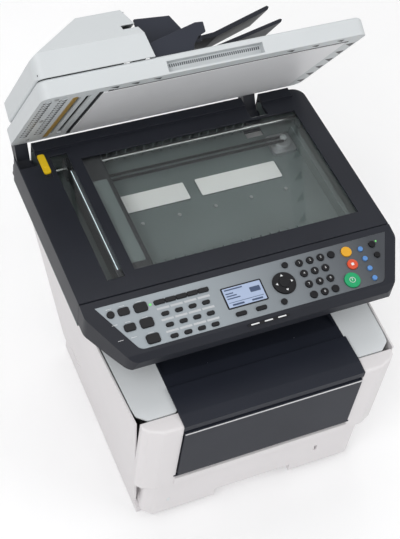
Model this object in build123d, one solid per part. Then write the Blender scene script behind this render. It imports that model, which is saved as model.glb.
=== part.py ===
from build123d import *
import math
import os

# Laser printer with a flatbed scanner and a document feeder, as it stands with the scanner cover open.
# Millimetres. X to the right, Y to the back, Z up. Z 0 is the surface it stands on.
# Y 0 is the seam between the scanner deck and the control panel, X 0 the middle of the deck.

# Scanner deck
deck_width = 489.0
deck_depth = 305.0
deck_top = 376.0
deck_height = 50.0
deck_corner = 20.0
deck_wall = 3.0
bed_thickness = 3.0
ridge_height = 4.5
ridge_depth = 18.0
ridge_end_inset = 24.0
bed_gap = 0.4

# Lock tab of the carriage
tab_gap = 7.5
tab_width = 11.0
tab_length = 38.0
tab_back_margin = 24.0
tab_travel = 8.0
tab_stem_width = 3.8
tab_stem_gap = 11.7
tab_depth = 2.0

# Glass openings and glasses
glass_left_margin = 95.5
glass_right_margin = 33.5
glass_front = 34.0
glass_back_margin = 46.0
slit_width = 27.0
slit_gap = 17.0
slit_front = 27.0
slit_back_margin = 30.0
glass_thickness = 3.0
glass_overlap = 7.0
fit_gap = 0.3

# Scan carriage and its drive
carriage_width = 56.0
carriage_depth = 230.0
carriage_height = 27.0
carriage_start = 7.0
carriage_travel = 322.0
rod_radius = 3.0
rod_back_inset = 40.0
rod_drop = 25.0
running_fit = 0.06

# Printer body
body_width = 381.0
body_flare = 17.0
body_flare_rear = 55.0
body_front = -153.0
body_foot_rear = 190.0
body_top = 262.0
base_height = 30.0
cover_wall = 2.5
rear_lean = 0.345
support_inset = 6.0
top_panel_width = 59.0
top_panel_thickness = 3.0

# Rear: paper door, ports and power inlet
door_half = 135.0
door_low = 64.0
door_high = 206.0
inlet_left = 151.0
inlet_right = 189.0
inlet_low = 112.0
inlet_high = 144.0

# Cassette bay and cassette
cassette_width = 362.0
cassette_bottom = 14.0
cassette_height = 88.0
cassette_front = -164.0
cassette_front_depth = 22.4
cassette_wall = 2.5
cassette_depth = 330.0
tray_wall_height = 58.0
cassette_travel = 270.0
grip_width = 130.0
grip_height = 17.0
grip_depth = 24.0

# Front cover and multipurpose tray
front_cover_gap = 2.0
front_top_depth = 38.0
front_skin = 3.0
corner_proud = 10.5
corner_return = 10.0
lip_rise = 4.0
lip_band = 19.0
lip_front_gap = 2.0
dark_panel_width = 286.0
dark_panel_front = -171.0
mp_bottom = 124.0
mp_top = 247.0
mp_thickness = 9.0
mp_pin_radius = 2.5
mp_chamfer = 14.0
slot_height = 5.0
hinge_pin_radius = 2.5
hinge_lug_x = 123.0
hinge_lug_width = 6.0
hinge_lug_radius = 4.4

# Output tray
output_drop = 46.0
output_depth = 232.0
output_skin = 3.0

# Control panel
panel_tilt = 9.0
panel_length = 103.0
panel_front_height = 24.0
panel_corner = 22.0
panel_side_straight = 24.0
panel_inset = 40.0
seam_gap = 0.6
plate_top_edge = 12.0
plate_length = 77.0
plate_thickness = 2.0
plate_top_left = 226.0
plate_top_right = 232.0
plate_bottom_left = 186.0
plate_bottom_right = 194.0
plate_rest = 2.0
key_gap = 0.35
key_height = 2.2
key_depth = 4.0
key_travel = 1.0

# Scanner cover with the document feeder
cover_overhang = 0.5
cover_side_gap = 3.5
cover_front = 2.0
cover_back_margin = 37.0
cover_gap = 2.0
cover_height = 27.0
cover_corner = 14.0
cover_skin = 3.0
pivot_back_inset = 14.6
pivot_drop = 31.3
rest_open = 58.0
pad_overlap = 4.0
pad_thickness = 4.0
pad_lift = 0.8
frame_thickness = 3.0
feeder_width = 167.0
feeder_height = 84.5
feeder_depth = 236.0
feeder_left_height = 29.0
feeder_front_height = 35.0
feeder_top_left = 87.0
feeder_top_right = 15.0
feeder_slope_depth = 48.0
feeder_skin = 2.5
feeder_pivot_inset = 5.5
feeder_pivot_lift = 6.6

# Document tray and flaps
tray_front = 18.0
tray_back = 232.0
tray_length = 98.0
tray_low = 44.0
tray_rise = 18.0
tray_skin = 3.0
flap_depth = 76.0
flap_front = 60.0
flap_length = 118.0
flap_pin_radius = 2.5
guide_travel = 62.0
guide_crest = 95.0

# Hinges of the scanner cover
hinge_left_inset = 17.0
hinge_right_inset = 92.5
arm_width = 20.0
cheek_width = 4.0
well_width = 30.0
pin_radius = 4.0
arm_boss = 10.0

# Rollers and drive
exit_roller_radius = 6.0
pickup_roller_radius = 12.0
drum_radius = 15.0
shaft_radius = 4.0
gear_radius = 26.0
gear_width = 7.0
gear_teeth = 30
gear_tooth = 2.0
frame_plate = 3.0

# Derived places
half = deck_width / 2
deck_low = deck_top - deck_height
glass_right = half - glass_right_margin
glass_left = -half + glass_left_margin
glass_back = deck_depth - glass_back_margin
slit_right = glass_left - slit_gap
slit_left = slit_right - slit_width
slit_back = deck_depth - slit_back_margin
glass_level = deck_top - deck_wall
tab_right = slit_left - tab_gap
tab_left = tab_right - tab_width
tab_back = deck_depth - tab_back_margin
tab_front = tab_back - tab_length
tab_stem_right = slit_left - tab_stem_gap
tab_stem_left = tab_stem_right - tab_stem_width
tab_floor = deck_top - tab_depth
tab_foot = glass_level - 3.7
hinge_left_x = -half + hinge_left_inset
hinge_right_x = half - hinge_right_inset
pivot_y = deck_depth - pivot_back_inset
pivot_z = deck_top - pivot_drop
cover_left = -half - cover_overhang
cover_right = half - cover_side_gap
cover_back = deck_depth - cover_back_margin
cover_low = deck_top + cover_gap
cover_top = cover_low + cover_height
body_half = body_width / 2
bay_top = cassette_bottom + cassette_height + 2 * front_cover_gap
rod_y = deck_depth - rod_back_inset
rod_z = deck_top - rod_drop
panel_half = dark_panel_width / 2
mp_pin_reach = panel_half + 3.6
body_mid_rear = body_foot_rear + (body_top - base_height) * rear_lean
frame_half = cassette_width / 2 + 2.0
inlet_y = body_foot_rear + (inlet_low - base_height) * rear_lean + 1.0


def profile(points, radius=0.0, chosen=None):
    face = make_face(Polyline(*points, close=True))
    if radius > 0:
        corners = face.vertices() if chosen is None else chosen(face.vertices())
        face = fillet(corners, radius)
    return face


def along_x(face, low, high):
    return extrude(Plane.YZ.offset(low) * face, high - low)


def along_y(face, low, high):
    return extrude(Plane.XZ.offset(-low) * face, low - high)


def along_z(face, low, high):
    return extrude(Plane.XY.offset(low) * face, high - low)


def block(x_low, x_high, y_low, y_high, z_low, z_high):
    middle = ((x_low + x_high) / 2, (y_low + y_high) / 2, (z_low + z_high) / 2)
    return Pos(*middle) * Box(x_high - x_low, y_high - y_low, z_high - z_low)


def rod_x(radius, x_low, x_high, y, z):
    return Pos((x_low + x_high) / 2, y, z) * Rot(0, 90, 0) * Cylinder(radius, x_high - x_low)


def rod_y_axis(radius, y_low, y_high, x, z):
    return Pos(x, (y_low + y_high) / 2, z) * Rot(90, 0, 0) * Cylinder(radius, y_high - y_low)


def mirrored(shape):
    return mirror(shape, about=Plane.YZ)


def rectangle(x_low, x_high, y_low, y_high):
    return [(x_low, y_low), (x_high, y_low), (x_high, y_high), (x_low, y_high)]


def rounded_block(x_low, x_high, y_low, y_high, z_low, z_high, radius):
    return along_z(profile(rectangle(x_low, x_high, y_low, y_high), radius), z_low, z_high)


def ruled(lower, lower_z, upper, upper_z):
    low_face = Plane.XY.offset(lower_z) * make_face(Polyline(*lower, close=True))
    high_face = Plane.XY.offset(upper_z) * make_face(Polyline(*upper, close=True))
    return loft([low_face, high_face], ruled=True)


# Scanner deck

def deck_outline(inset):
    points = rectangle(-half + inset, half - inset, inset, deck_depth - inset)
    return profile(points, deck_corner - inset, lambda corners: corners.sort_by(Axis.Y)[-2:])


def hinge_wells():
    wells = []
    for x in (hinge_left_x, hinge_right_x):
        front = cover_back - 6.0
        wells.append(block(x - well_width / 2, x + well_width / 2, front, deck_depth + 1, deck_low - 1,
                           deck_top + ridge_height + 1))
    return wells


def deck_frame():
    outer = along_z(deck_outline(0), deck_low + bed_thickness, deck_top)
    outer = fillet(outer.faces().sort_by(Axis.Z)[-1].edges(), deck_wall / 2)
    inner = along_z(deck_outline(deck_wall), deck_low, glass_level)
    frame = outer - inner
    frame -= block(glass_left, glass_right, glass_front, glass_back, glass_level - 1, deck_top + 1)
    frame -= block(slit_left, slit_right, slit_front, slit_back, glass_level - 1, deck_top + 1)
    seat = glass_overlap + fit_gap
    ring_low = glass_level - glass_thickness - fit_gap
    ring = block(slit_left - seat - 4, glass_right + seat + 4, glass_front - seat - 4, slit_back + seat + 4,
                 ring_low, glass_level)
    ring -= block(glass_left - seat, glass_right + seat, glass_front - seat, glass_back + seat,
                  ring_low - 1, glass_level + 1)
    ring -= block(slit_left - seat, slit_right + fit_gap, slit_front - seat, slit_back + seat,
                  ring_low - 1, glass_level + 1)
    frame += ring & along_z(deck_outline(deck_wall), deck_low, glass_level)
    frame += block(-half + ridge_end_inset, half - ridge_end_inset, deck_depth - ridge_depth, deck_depth,
                   glass_level, deck_top + ridge_height)
    for well in hinge_wells():
        frame -= well
    low_x, high_x, low_y, high_y = tab_left - fit_gap, tab_right + fit_gap, tab_front, tab_back
    frame -= block(low_x, high_x, low_y - tab_travel - fit_gap, high_y + fit_gap, tab_floor, deck_top + 1)
    frame -= block(tab_stem_left - fit_gap, tab_stem_right + fit_gap, low_y + 6 - tab_travel - fit_gap,
                   low_y + 20 + fit_gap, glass_level - 1, deck_top + 1)
    return frame


def lock_tab():
    cap = rounded_block(tab_left, tab_right, tab_front, tab_back, tab_floor + fit_gap, deck_top + 1.6, 3)
    cap -= block(tab_left + 2.5, tab_right - 2.5, tab_front + 4, tab_front + 12, deck_top + 0.8, deck_top + 2)
    stem = block(tab_stem_left, tab_stem_right, tab_front + 6, tab_front + 20, tab_foot, tab_floor + 1)
    foot = block(tab_stem_left - 2, tab_stem_right, tab_front + 4, tab_front + 22, tab_foot, tab_foot + 3.4)
    return cap + stem + foot


def scanner_pan():
    inset = deck_wall + bed_gap
    floor = along_z(deck_outline(0), deck_low, deck_low + bed_thickness - fit_gap)
    wall = along_z(deck_outline(inset), deck_low, rod_z + 14)
    wall -= along_z(deck_outline(inset + 2.5), deck_low, rod_z + 15)
    pan = floor + wall
    start = glass_left + 18.0
    pitch = 15.5
    for index in range(18):
        x = start + index * pitch
        pan += block(x, x + pitch - 4, glass_front + 12, glass_front + 34, deck_low + 1, deck_low + 7)
        pan += block(x, x + 2, rod_y + 12, deck_depth - inset - 1, deck_low + 1, rod_z + 6)
    pan += block(glass_right - 6, glass_right + 2, inset + 1, rod_y - 14, deck_low + 1, rod_z - 2)
    for x in (-half + inset, half - inset - 14):
        pan += block(x, x + 14, rod_y - 6, rod_y + 6, deck_low + 1, rod_z + 6)
    pan -= rod_x(rod_radius + running_fit, -half, half, rod_y, rod_z)
    for well in hinge_wells():
        pan -= well
    for x_low, x_high in ((-111, -1), (18, 156)):
        pan += rounded_block(x_low, x_high, 168, 203, deck_low + 1, deck_low + 5, 2)
    return pan


def carriage_rod():
    reach = half - deck_wall - 2 * bed_gap
    return rod_x(rod_radius, -reach, reach, rod_y, rod_z)


def scan_motor():
    level = deck_low + bed_thickness - fit_gap
    motor_x = glass_right - 28.0
    motor_y = rod_y - 34.0
    base = rounded_block(motor_x - 20, motor_x + 20, motor_y - 18, motor_y + 22, level, level + 5, 5)
    can = Pos(motor_x, motor_y, level + 9) * Cylinder(15, 8)
    pulley = Pos(motor_x, motor_y, level + 16) * Cylinder(5, 6)
    return base + can + pulley


def scan_carriage():
    x_low = slit_right - carriage_start
    x_high = x_low + carriage_width
    y_low = rod_y - carriage_depth
    top = glass_level - glass_thickness - 4.0
    low = top - carriage_height
    body = block(x_low, x_high, y_low, rod_y + 8, low, top)
    body -= block(x_low + 3, x_low + 8, y_low + 12, rod_y - 12, top - 10, top + 1)
    body -= block(x_low - 1, x_high + 1, rod_y - 52, rod_y - 16, low - 1, low + 12)
    body -= rod_x(rod_radius + running_fit, x_low - 1, x_high + 1, rod_y, rod_z)
    return body


def scan_glasses():
    reach = glass_overlap
    high = glass_level - fit_gap / 2
    low = high - glass_thickness
    platen = block(glass_left - reach, glass_right + reach, glass_front - reach, glass_back + reach, low, high)
    slit = block(slit_left - reach, slit_right, slit_front - reach, slit_back + reach, low, high)
    return Compound(children=[platen, slit])


def hinge_base():
    bases = []
    for x in (hinge_left_x, hinge_right_x):
        inner = arm_width / 2 + fit_gap
        outer = inner + cheek_width
        base = block(x - outer, x + outer, pivot_y - 16, pivot_y + 12, deck_low, deck_low + 4)
        for side in (-1, 1):
            low = min(side * inner, side * outer)
            high = max(side * inner, side * outer)
            cheek = block(x + low, x + high, pivot_y - 10, pivot_y + 10, deck_low, pivot_z)
            base += cheek + rod_x(10, x + low, x + high, pivot_y, pivot_z)
        base += rod_x(pin_radius, x - outer, x + outer, pivot_y, pivot_z)
        bases.append(base)
    return Compound(children=bases)


# Printer body

def side_line(front_y, rear_y, outer_front, outer_rear, thickness):
    return [(-outer_front, front_y), (-outer_front + thickness, front_y),
            (-outer_rear + thickness, rear_y), (-outer_rear, rear_y)]


def side_cover():
    mid_front = body_half + body_flare
    mid_rear = body_half + body_flare_rear * 0.62
    foot = side_line(body_front + 12, body_foot_rear, body_half, body_half, cover_wall)
    middle = side_line(body_front + 12, body_mid_rear, mid_front, mid_rear, cover_wall)
    cover = ruled(foot, base_height, middle, body_top)
    wing_mid_front = mid_front + (mid_rear - mid_front) * 0.42
    wing_foot = side_line(20.0, body_mid_rear, wing_mid_front, mid_rear, cover_wall)
    wing_top_x = half - support_inset
    wing_rear = body_foot_rear + (deck_low - base_height) * rear_lean
    wing_top = side_line(44.0, wing_rear, wing_top_x, wing_top_x, cover_wall)
    cover += ruled(wing_foot, body_top, wing_top, deck_low - fit_gap)
    return cover


def rear_face(level):
    share = (level - base_height) / (body_top - base_height)
    mid_rear = body_half + body_flare_rear * 0.62
    wing_top_x = half - support_inset
    if level <= body_top:
        reach = body_half + share * (mid_rear - body_half)
    else:
        reach = mid_rear + (level - body_top) / (deck_low - body_top) * (wing_top_x - mid_rear)
    y = body_foot_rear + (level - base_height) * rear_lean
    reach -= cover_wall + fit_gap
    return [(-reach, y - cover_wall), (reach, y - cover_wall), (reach, y), (-reach, y)]


def door_slab(grow, deeper):
    y_low = body_foot_rear + (door_low - grow - base_height) * rear_lean
    y_high = body_foot_rear + (door_high + grow - base_height) * rear_lean
    points = [(y_low, door_low - grow), (y_low - cover_wall - deeper, door_low - grow),
              (y_high - cover_wall - deeper, door_high + grow), (y_high, door_high + grow)]
    return along_x(profile(points), -door_half - grow, door_half + grow)


def rear_panel():
    panel = ruled(rear_face(base_height), base_height, rear_face(body_top), body_top)
    panel += ruled(rear_face(body_top), body_top, rear_face(deck_low - 1), deck_low - 1)
    cutter = Pos(0, 1, 0) * door_slab(0.6, 4)
    panel -= cutter
    port_y = body_foot_rear + (150 - base_height) * rear_lean
    panel -= block(-190, -150, port_y - 20, port_y + 20, 120, 196)
    panel -= block(inlet_left - 1, inlet_right + 1, inlet_y - 8, inlet_y + 20, inlet_low - 1, inlet_high + 1)
    y = body_foot_rear + (door_low + 6 - base_height) * rear_lean - 4
    for side in (-1, 1):
        x_in = side * (door_half + 1.0)
        x_out = side * (door_half + 8.0)
        ear = block(min(x_in, x_out), max(x_in, x_out), y - 5, y + 2.2, door_low - 4, door_low + 14)
        panel += ear
    panel -= rod_x(hinge_pin_radius + running_fit, -door_half - 6, door_half + 6, y, door_low + 6)
    return panel


def rear_door():
    door = door_slab(0, 0)
    y = body_foot_rear + (door_low + 6 - base_height) * rear_lean - 4
    door += along_x(profile([(y - 3, door_low + 3), (y + 4, door_low + 3), (y + 4, door_low + 9),
                             (y - 3, door_low + 9)], 1), -door_half + 1, door_half - 1)
    door += rod_x(hinge_pin_radius, -door_half - 5, door_half + 5, y, door_low + 6)
    latch_y = body_foot_rear + (door_high - 12 - base_height) * rear_lean
    door += block(-22, 22, latch_y - 1, latch_y + 5, door_high - 20, door_high - 8)
    return door


def data_sockets():
    port_y = body_foot_rear + (150 - base_height) * rear_lean
    plate = block(-192, -148, port_y - 24, port_y - 21, 118, 198)
    for level in (130, 152, 174):
        plate += block(-180, -160, port_y - 21, port_y - 14, level, level + 13)
    return plate


def power_socket():
    inlet = block(inlet_left, inlet_right, inlet_y - 20, inlet_y + 2, inlet_low, inlet_high)
    socket = profile([(inlet_left + 6, inlet_low + 6), (inlet_right - 6, inlet_low + 6),
                      (inlet_right - 6, inlet_high - 6), (inlet_left + 6, inlet_high - 6)], 2)
    inlet -= along_y(socket, inlet_y - 15, inlet_y + 3)
    middle = (inlet_left + inlet_right) / 2
    for x in (middle - 7, middle, middle + 7):
        inlet += block(x - 1, x + 1, inlet_y - 16, inlet_y - 4, inlet_low + 13, inlet_low + 19)
    return inlet


def base_frame():
    rail = body_half - 3.5
    rear = body_foot_rear - cover_wall - 2
    frame = block(-rail, rail, body_front + 8, rear, 0, cassette_bottom - 2)
    frame -= block(-rail + 12, rail - 12, body_front + 20, rear - 12, -1, cassette_bottom - 5)
    for side in (-1, 1):
        low = min(side * frame_half, side * rail)
        high = max(side * frame_half, side * rail)
        frame += block(low, high, body_front + 22, rear, cassette_bottom - 3, bay_top - 1)
    frame += block(-rail, rail, rear - 4, rear, cassette_bottom - 3, bay_top - 1)
    return frame


def engine_frame():
    rear = body_foot_rear - 14
    front = body_front + 24
    frame = block(-frame_half, -frame_half + frame_plate, front, rear, bay_top, output_low() - 4)
    frame += block(frame_half - frame_plate, frame_half, front, rear, bay_top, output_low() - 4)
    frame += block(-frame_half, frame_half, rear - 4, rear, bay_top, bay_top + 26)
    frame += block(-frame_half, frame_half, front, front + 4, bay_top + 2, bay_top + 12)
    frame += block(-frame_half, frame_half, 30, 34, bay_top + 58, bay_top + 66)
    for y, z, radius in roller_places():
        frame -= rod_x(radius, -body_half, body_half, y, z)
    return frame + hinge_pins()


def output_low():
    return body_top - output_drop - 6.0


pickup_y = -108.0
pickup_z = bay_top + 22.0
drum_y = -18.0
drum_z = bay_top + 38.0
gear_y = 66.0
gear_z = bay_top + 42.0
exit_y = 158.0
exit_z = body_top - 12.0


def roller_places():
    bore = shaft_radius + running_fit
    return [(pickup_y, pickup_z, bore), (drum_y, drum_z, bore), (gear_y, gear_z, bore)]


def pickup_roller():
    reach = frame_half + 3.0
    roller = rod_x(shaft_radius, -reach, reach, pickup_y, pickup_z)
    for x in (-32, 32):
        roller += rod_x(pickup_roller_radius, x - 14, x + 14, pickup_y, pickup_z)
    flat = block(-reach - 1, -reach + 5, pickup_y - 6, pickup_y + 6, pickup_z + 2.5, pickup_z + 6)
    return roller - flat


def drum_roller():
    reach = frame_half + 3.0
    roller = rod_x(shaft_radius, -reach, reach, drum_y, drum_z)
    roller += rod_x(drum_radius, -118, 118, drum_y, drum_z)
    flat = block(-reach - 1, -reach + 5, drum_y - 6, drum_y + 6, drum_z + 2.5, drum_z + 6)
    return roller - flat


def drive_gear():
    x_low = frame_half + 1.5
    gear = rod_x(gear_radius - gear_tooth, x_low, x_low + gear_width, gear_y, gear_z)
    for index in range(gear_teeth):
        tooth = Pos(0, gear_y, gear_z) * Rot(index * 360 / gear_teeth, 0, 0)
        gear += tooth * block(x_low, x_low + gear_width, -1.3, 1.3, gear_radius - 2 * gear_tooth, gear_radius)
    gear += rod_x(shaft_radius, frame_half - 14, x_low, gear_y, gear_z)
    return gear


def main_motor():
    high = frame_half - 16.0
    return rod_x(24, high - 26, high, gear_y, gear_z) + block(high - 30, high - 26, gear_y - 28, gear_y + 28,
                                                            gear_z - 28, gear_z + 28)


def drum_case():
    y_low = drum_y - 26
    y_high = drum_y + 30
    low = drum_z - drum_radius + 6
    points = [(y_low, low), (y_high, low), (y_high, drum_z + 26), (y_low, drum_z + 26)]
    case = along_x(profile(points, 4), -152, 152)
    case -= rod_x(drum_radius + 2, -121, 121, drum_y, drum_z)
    case -= block(-121, 121, drum_y - 14, drum_y + 14, low - 1, drum_z)
    case -= rod_x(shaft_radius + 0.5, -153, 153, drum_y, drum_z)
    return case


def toner_container():
    y = drum_y - 54
    z = drum_z + 26
    body = rod_x(24, -150, 150, y, z) + block(-150, 150, y - 24, y + 10, z, z + 12)
    grip = block(-40, 40, y - 34, y - 20, z + 2, z + 8)
    return body + grip


def laser_unit():
    low = bay_top + 72.0
    unit = block(-130, 130, 38, 132, low, low + 16)
    unit += block(-100, 100, 46, 120, low + 15, low + 24)
    unit -= block(-112, 112, 37, 42, low + 4, low + 10)
    return unit


def fuser_unit():
    y_low = 118.0
    y_high = body_foot_rear - 20
    points = [(y_low, bay_top + 46), (y_high, bay_top + 30), (y_high, bay_top + 66), (y_low, bay_top + 66)]
    return along_x(profile(points, 4), -150, 150)


def exit_roller():
    reach = panel_half - 4.0
    roller = rod_x(3.0, -reach - 3, reach + 3, exit_y, exit_z)
    for x in (-84, -28, 28, 84):
        roller += rod_x(exit_roller_radius, x - 9, x + 9, exit_y, exit_z)
    flat = block(-reach - 4, -reach + 1, exit_y - 6, exit_y + 6, exit_z + 2, exit_z + 5)
    return roller - flat


def output_tray():
    front_y = dark_panel_front + 32 + front_top_depth
    back_y = front_y + output_depth
    low = body_top - output_drop
    skin = output_skin
    points = [(front_y, body_top), (front_y + 22, body_top), (back_y - 42, low), (back_y - 34, low + 2),
              (back_y - 30, exit_z - 12), (back_y - 22, exit_z - 12), (back_y - 22, low - skin),
              (back_y - 44, low - skin), (front_y + 22, body_top - skin), (front_y, body_top - skin)]
    edge = panel_half - fit_gap
    tray = along_x(profile(points), -edge, edge)
    for side in (-1, 1):
        low_x = min(side * edge, side * (edge - skin))
        high_x = max(side * edge, side * (edge - skin))
        wall = [(front_y, body_top), (front_y, body_top - skin), (front_y + 22, body_top - skin),
                (back_y - 44, low - skin), (back_y, low - skin), (back_y, exit_z + 12),
                (back_y - 20, exit_z + 12), (back_y - 30, body_top)]
        tray += along_x(profile(wall), low_x, high_x)
    tray += block(-edge, edge, back_y - skin, back_y, low - skin, exit_z + 12)
    tray += block(-edge, edge, back_y - 22, back_y, exit_z + 9, exit_z + 12)
    tray -= rod_x(3.0 + running_fit, -edge - 1, edge + 1, exit_y, exit_z)
    return tray


def top_panel():
    outer = panel_half + top_panel_width
    inner = panel_half + fit_gap
    rear = dark_panel_front + 32 + front_top_depth + output_depth
    front = dark_panel_front + 30.0
    mid_front = body_half + body_flare - cover_wall - 1
    lean = (body_half + body_flare_rear * 0.62 - mid_front) / (body_mid_rear - body_front)
    outline = [(inner, front), (outer - 14, front), (outer, front + 12), (mid_front, front + 26),
               (mid_front + lean * (rear - front - 26) * 0.8, rear), (inner, rear)]
    panel = along_z(profile(outline, 5), body_top - top_panel_thickness, body_top)
    return panel


# Front cover, multipurpose tray and cassette

inner_wall_y = dark_panel_front + mp_thickness + 2.5
cover_hinge_y = dark_panel_front + 6.6
cover_hinge_z = bay_top + 4.2


def corner_outline(inset):
    outer = body_half + corner_proud - inset
    inner = panel_half + 1.0
    front = dark_panel_front + 3.0 + inset
    rear = body_front + corner_return - inset
    return [(inner, front), (inner + 30, front), (outer - 7, front + 9), (outer, front + 17), (outer, rear),
            (inner, rear)]


def front_corner():
    outer_face = profile(corner_outline(0), 7, lambda found: found.sort_by(Axis.X)[2:4])
    low = bay_top - 2
    solid = along_z(outer_face, low, body_top)
    solid = fillet(solid.faces().sort_by(Axis.Z)[-1].edges().sort_by(Axis.Y)[:2], 4)
    inner = along_z(profile(corner_outline(front_skin)), low + front_skin, body_top - front_skin)
    return solid - inner


def front_cover():
    right = front_corner()
    cover = right + mirrored(right)
    edge = panel_half + 2.0
    cover += block(-edge, edge, inner_wall_y, inner_wall_y + front_skin, bay_top - 1, body_top)
    cover += block(-edge, edge, dark_panel_front + 1, inner_wall_y + 1, bay_top - 1, mp_bottom - 4)
    for side in (-1, 1):
        low_x = side * hinge_lug_x - hinge_lug_width / 2 - fit_gap
        high_x = side * hinge_lug_x + hinge_lug_width / 2 + fit_gap
        cover -= block(low_x, high_x, cover_hinge_y - hinge_lug_radius - fit_gap, inner_wall_y + front_skin + 1,
                       bay_top - 3, cover_hinge_z + hinge_lug_radius + fit_gap)
        pin_low = side * hinge_lug_x - hinge_lug_width - fit_gap
        pin_high = side * hinge_lug_x + hinge_lug_width + fit_gap
        cover -= rod_x(hinge_pin_radius + running_fit, pin_low, pin_high, cover_hinge_y, cover_hinge_z)
    bore = mp_pin_radius + running_fit
    return cover - rod_x(bore, -mp_pin_reach - fit_gap, mp_pin_reach + fit_gap, mp_pin_y, mp_pin_z)


def front_lip():
    edge = panel_half + 1.0
    lip_y = dark_panel_front + lip_front_gap
    top = body_top + lip_rise
    low = mp_top + slot_height
    rear = dark_panel_front + 32 + front_top_depth - 1.2
    section = [(lip_y, low), (lip_y, body_top + 1), (lip_y + lip_band, top), (rear, top),
               (rear, top - front_skin), (lip_y + lip_band, top - front_skin),
               (lip_y + front_skin, body_top - 2), (lip_y + front_skin, low + front_skin),
               (inner_wall_y, low + front_skin), (inner_wall_y, low)]
    lip = along_x(profile(section), -edge, edge)
    return lip - block(-edge - 1, edge + 1, inner_wall_y, inner_wall_y + front_skin, low, body_top)


mp_pin_y = dark_panel_front + mp_thickness / 2
mp_pin_z = mp_bottom + 3.0


def mp_tray():
    edge = panel_half - 0.8
    front = dark_panel_front
    points = [(front, mp_bottom + 6), (front, mp_top), (front + mp_thickness, mp_top),
              (front + mp_thickness, mp_bottom + 3), (front + mp_thickness / 2, mp_bottom - 1.5)]
    tray = along_x(profile(points, 2), -edge, edge)
    tray -= block(-edge + 22, edge - 22, front + mp_thickness - 4, front + mp_thickness + 1,
                  mp_bottom + 18, mp_top - 10)
    low = mp_bottom - 3
    outline = [(-edge, mp_top + 1), (-edge, low + mp_chamfer), (-edge + mp_chamfer, low),
               (edge - mp_chamfer, low), (edge, low + mp_chamfer), (edge, mp_top + 1)]
    tray &= along_y(profile(outline), front - 1, front + mp_thickness + 1)
    return tray + rod_x(mp_pin_radius, -mp_pin_reach, mp_pin_reach, mp_pin_y, mp_pin_z)


def hinge_pins():
    pins = Part()
    rear = body_front + 26
    for side in (-1, 1):
        low_x = side * hinge_lug_x - hinge_lug_width / 2
        high_x = side * hinge_lug_x + hinge_lug_width / 2
        lug = rod_x(hinge_lug_radius, low_x, high_x, cover_hinge_y, cover_hinge_z)
        lug += block(low_x, high_x, cover_hinge_y, rear, cover_hinge_z - hinge_lug_radius,
                     cover_hinge_z + hinge_lug_radius)
        pin_low = side * hinge_lug_x - hinge_lug_width
        pin_high = side * hinge_lug_x + hinge_lug_width
        pins += lug + rod_x(hinge_pin_radius, pin_low, pin_high, cover_hinge_y, cover_hinge_z)
    return pins


def cassette():
    side = cassette_width / 2
    top = cassette_bottom + cassette_height
    rear = cassette_front + cassette_depth
    outline = [(-side - 2, cassette_front + 14), (-side + 12, cassette_front), (side - 12, cassette_front),
               (side + 2, cassette_front + 14), (side + 2, cassette_front + cassette_front_depth),
               (-side - 2, cassette_front + cassette_front_depth)]
    front = along_z(profile(outline, 8, lambda found: found.sort_by(Axis.Y)[:4]), cassette_bottom, top)
    front -= block(-grip_width / 2, grip_width / 2, cassette_front - 1, cassette_front + grip_depth,
                   cassette_bottom - 1, cassette_bottom + grip_height)
    slot_x = side - 76.0
    front -= block(slot_x - 2.5, slot_x + 2.5, cassette_front - 1, cassette_front + 19, 54, 68)
    tray = block(-side, side, cassette_front + 17, rear, cassette_bottom, cassette_bottom + tray_wall_height)
    wall = cassette_wall
    tray -= block(-side + wall, side - wall, cassette_front + 17 + wall, rear - wall,
                  cassette_bottom + wall, cassette_bottom + tray_wall_height + 1)
    grip = block(-grip_width / 2, grip_width / 2, cassette_front - 1, cassette_front + grip_depth,
                 cassette_bottom - 1, cassette_bottom + grip_height)
    hood = block(-grip_width / 2 - 3, grip_width / 2 + 3, cassette_front + 16, cassette_front + grip_depth + 3,
                 cassette_bottom, cassette_bottom + grip_height + 3)
    return front + (tray + hood - grip)


lift_pivot_y = 30.0
lift_z = cassette_bottom + cassette_wall + 5.0


def lift_plate():
    side = 108.0
    front = cassette_front + 32.0
    plate = block(-side, side, front, lift_pivot_y, lift_z - 1.5, lift_z + 1.5)
    plate += rod_x(3, -side, side, lift_pivot_y, lift_z)
    return plate


def end_guide():
    y = 100.0
    low = cassette_bottom + cassette_wall + fit_gap
    guide = block(-30, 30, y, y + 40, low, low + 4)
    return guide + block(-24, 24, y, y + 4, low, low + 44)


# Control panel

panel_plane = Plane(origin=(0, -seam_gap, deck_top), x_dir=(1, 0, 0),
                    z_dir=(0, -math.sin(math.radians(panel_tilt)), math.cos(math.radians(panel_tilt))))


def on_panel(face, low, high):
    return extrude(panel_plane.offset(low) * face, high - low)


def plate_outline(grow):
    top = -plate_top_edge + grow
    low = -plate_top_edge - plate_length - grow
    return profile([(-plate_top_left - grow, top), (plate_top_right + grow, top),
                    (plate_bottom_right + grow, low), (-plate_bottom_left - grow, low)], 12,
                   lambda found: found.sort_by(Axis.Y)[:2])


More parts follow.
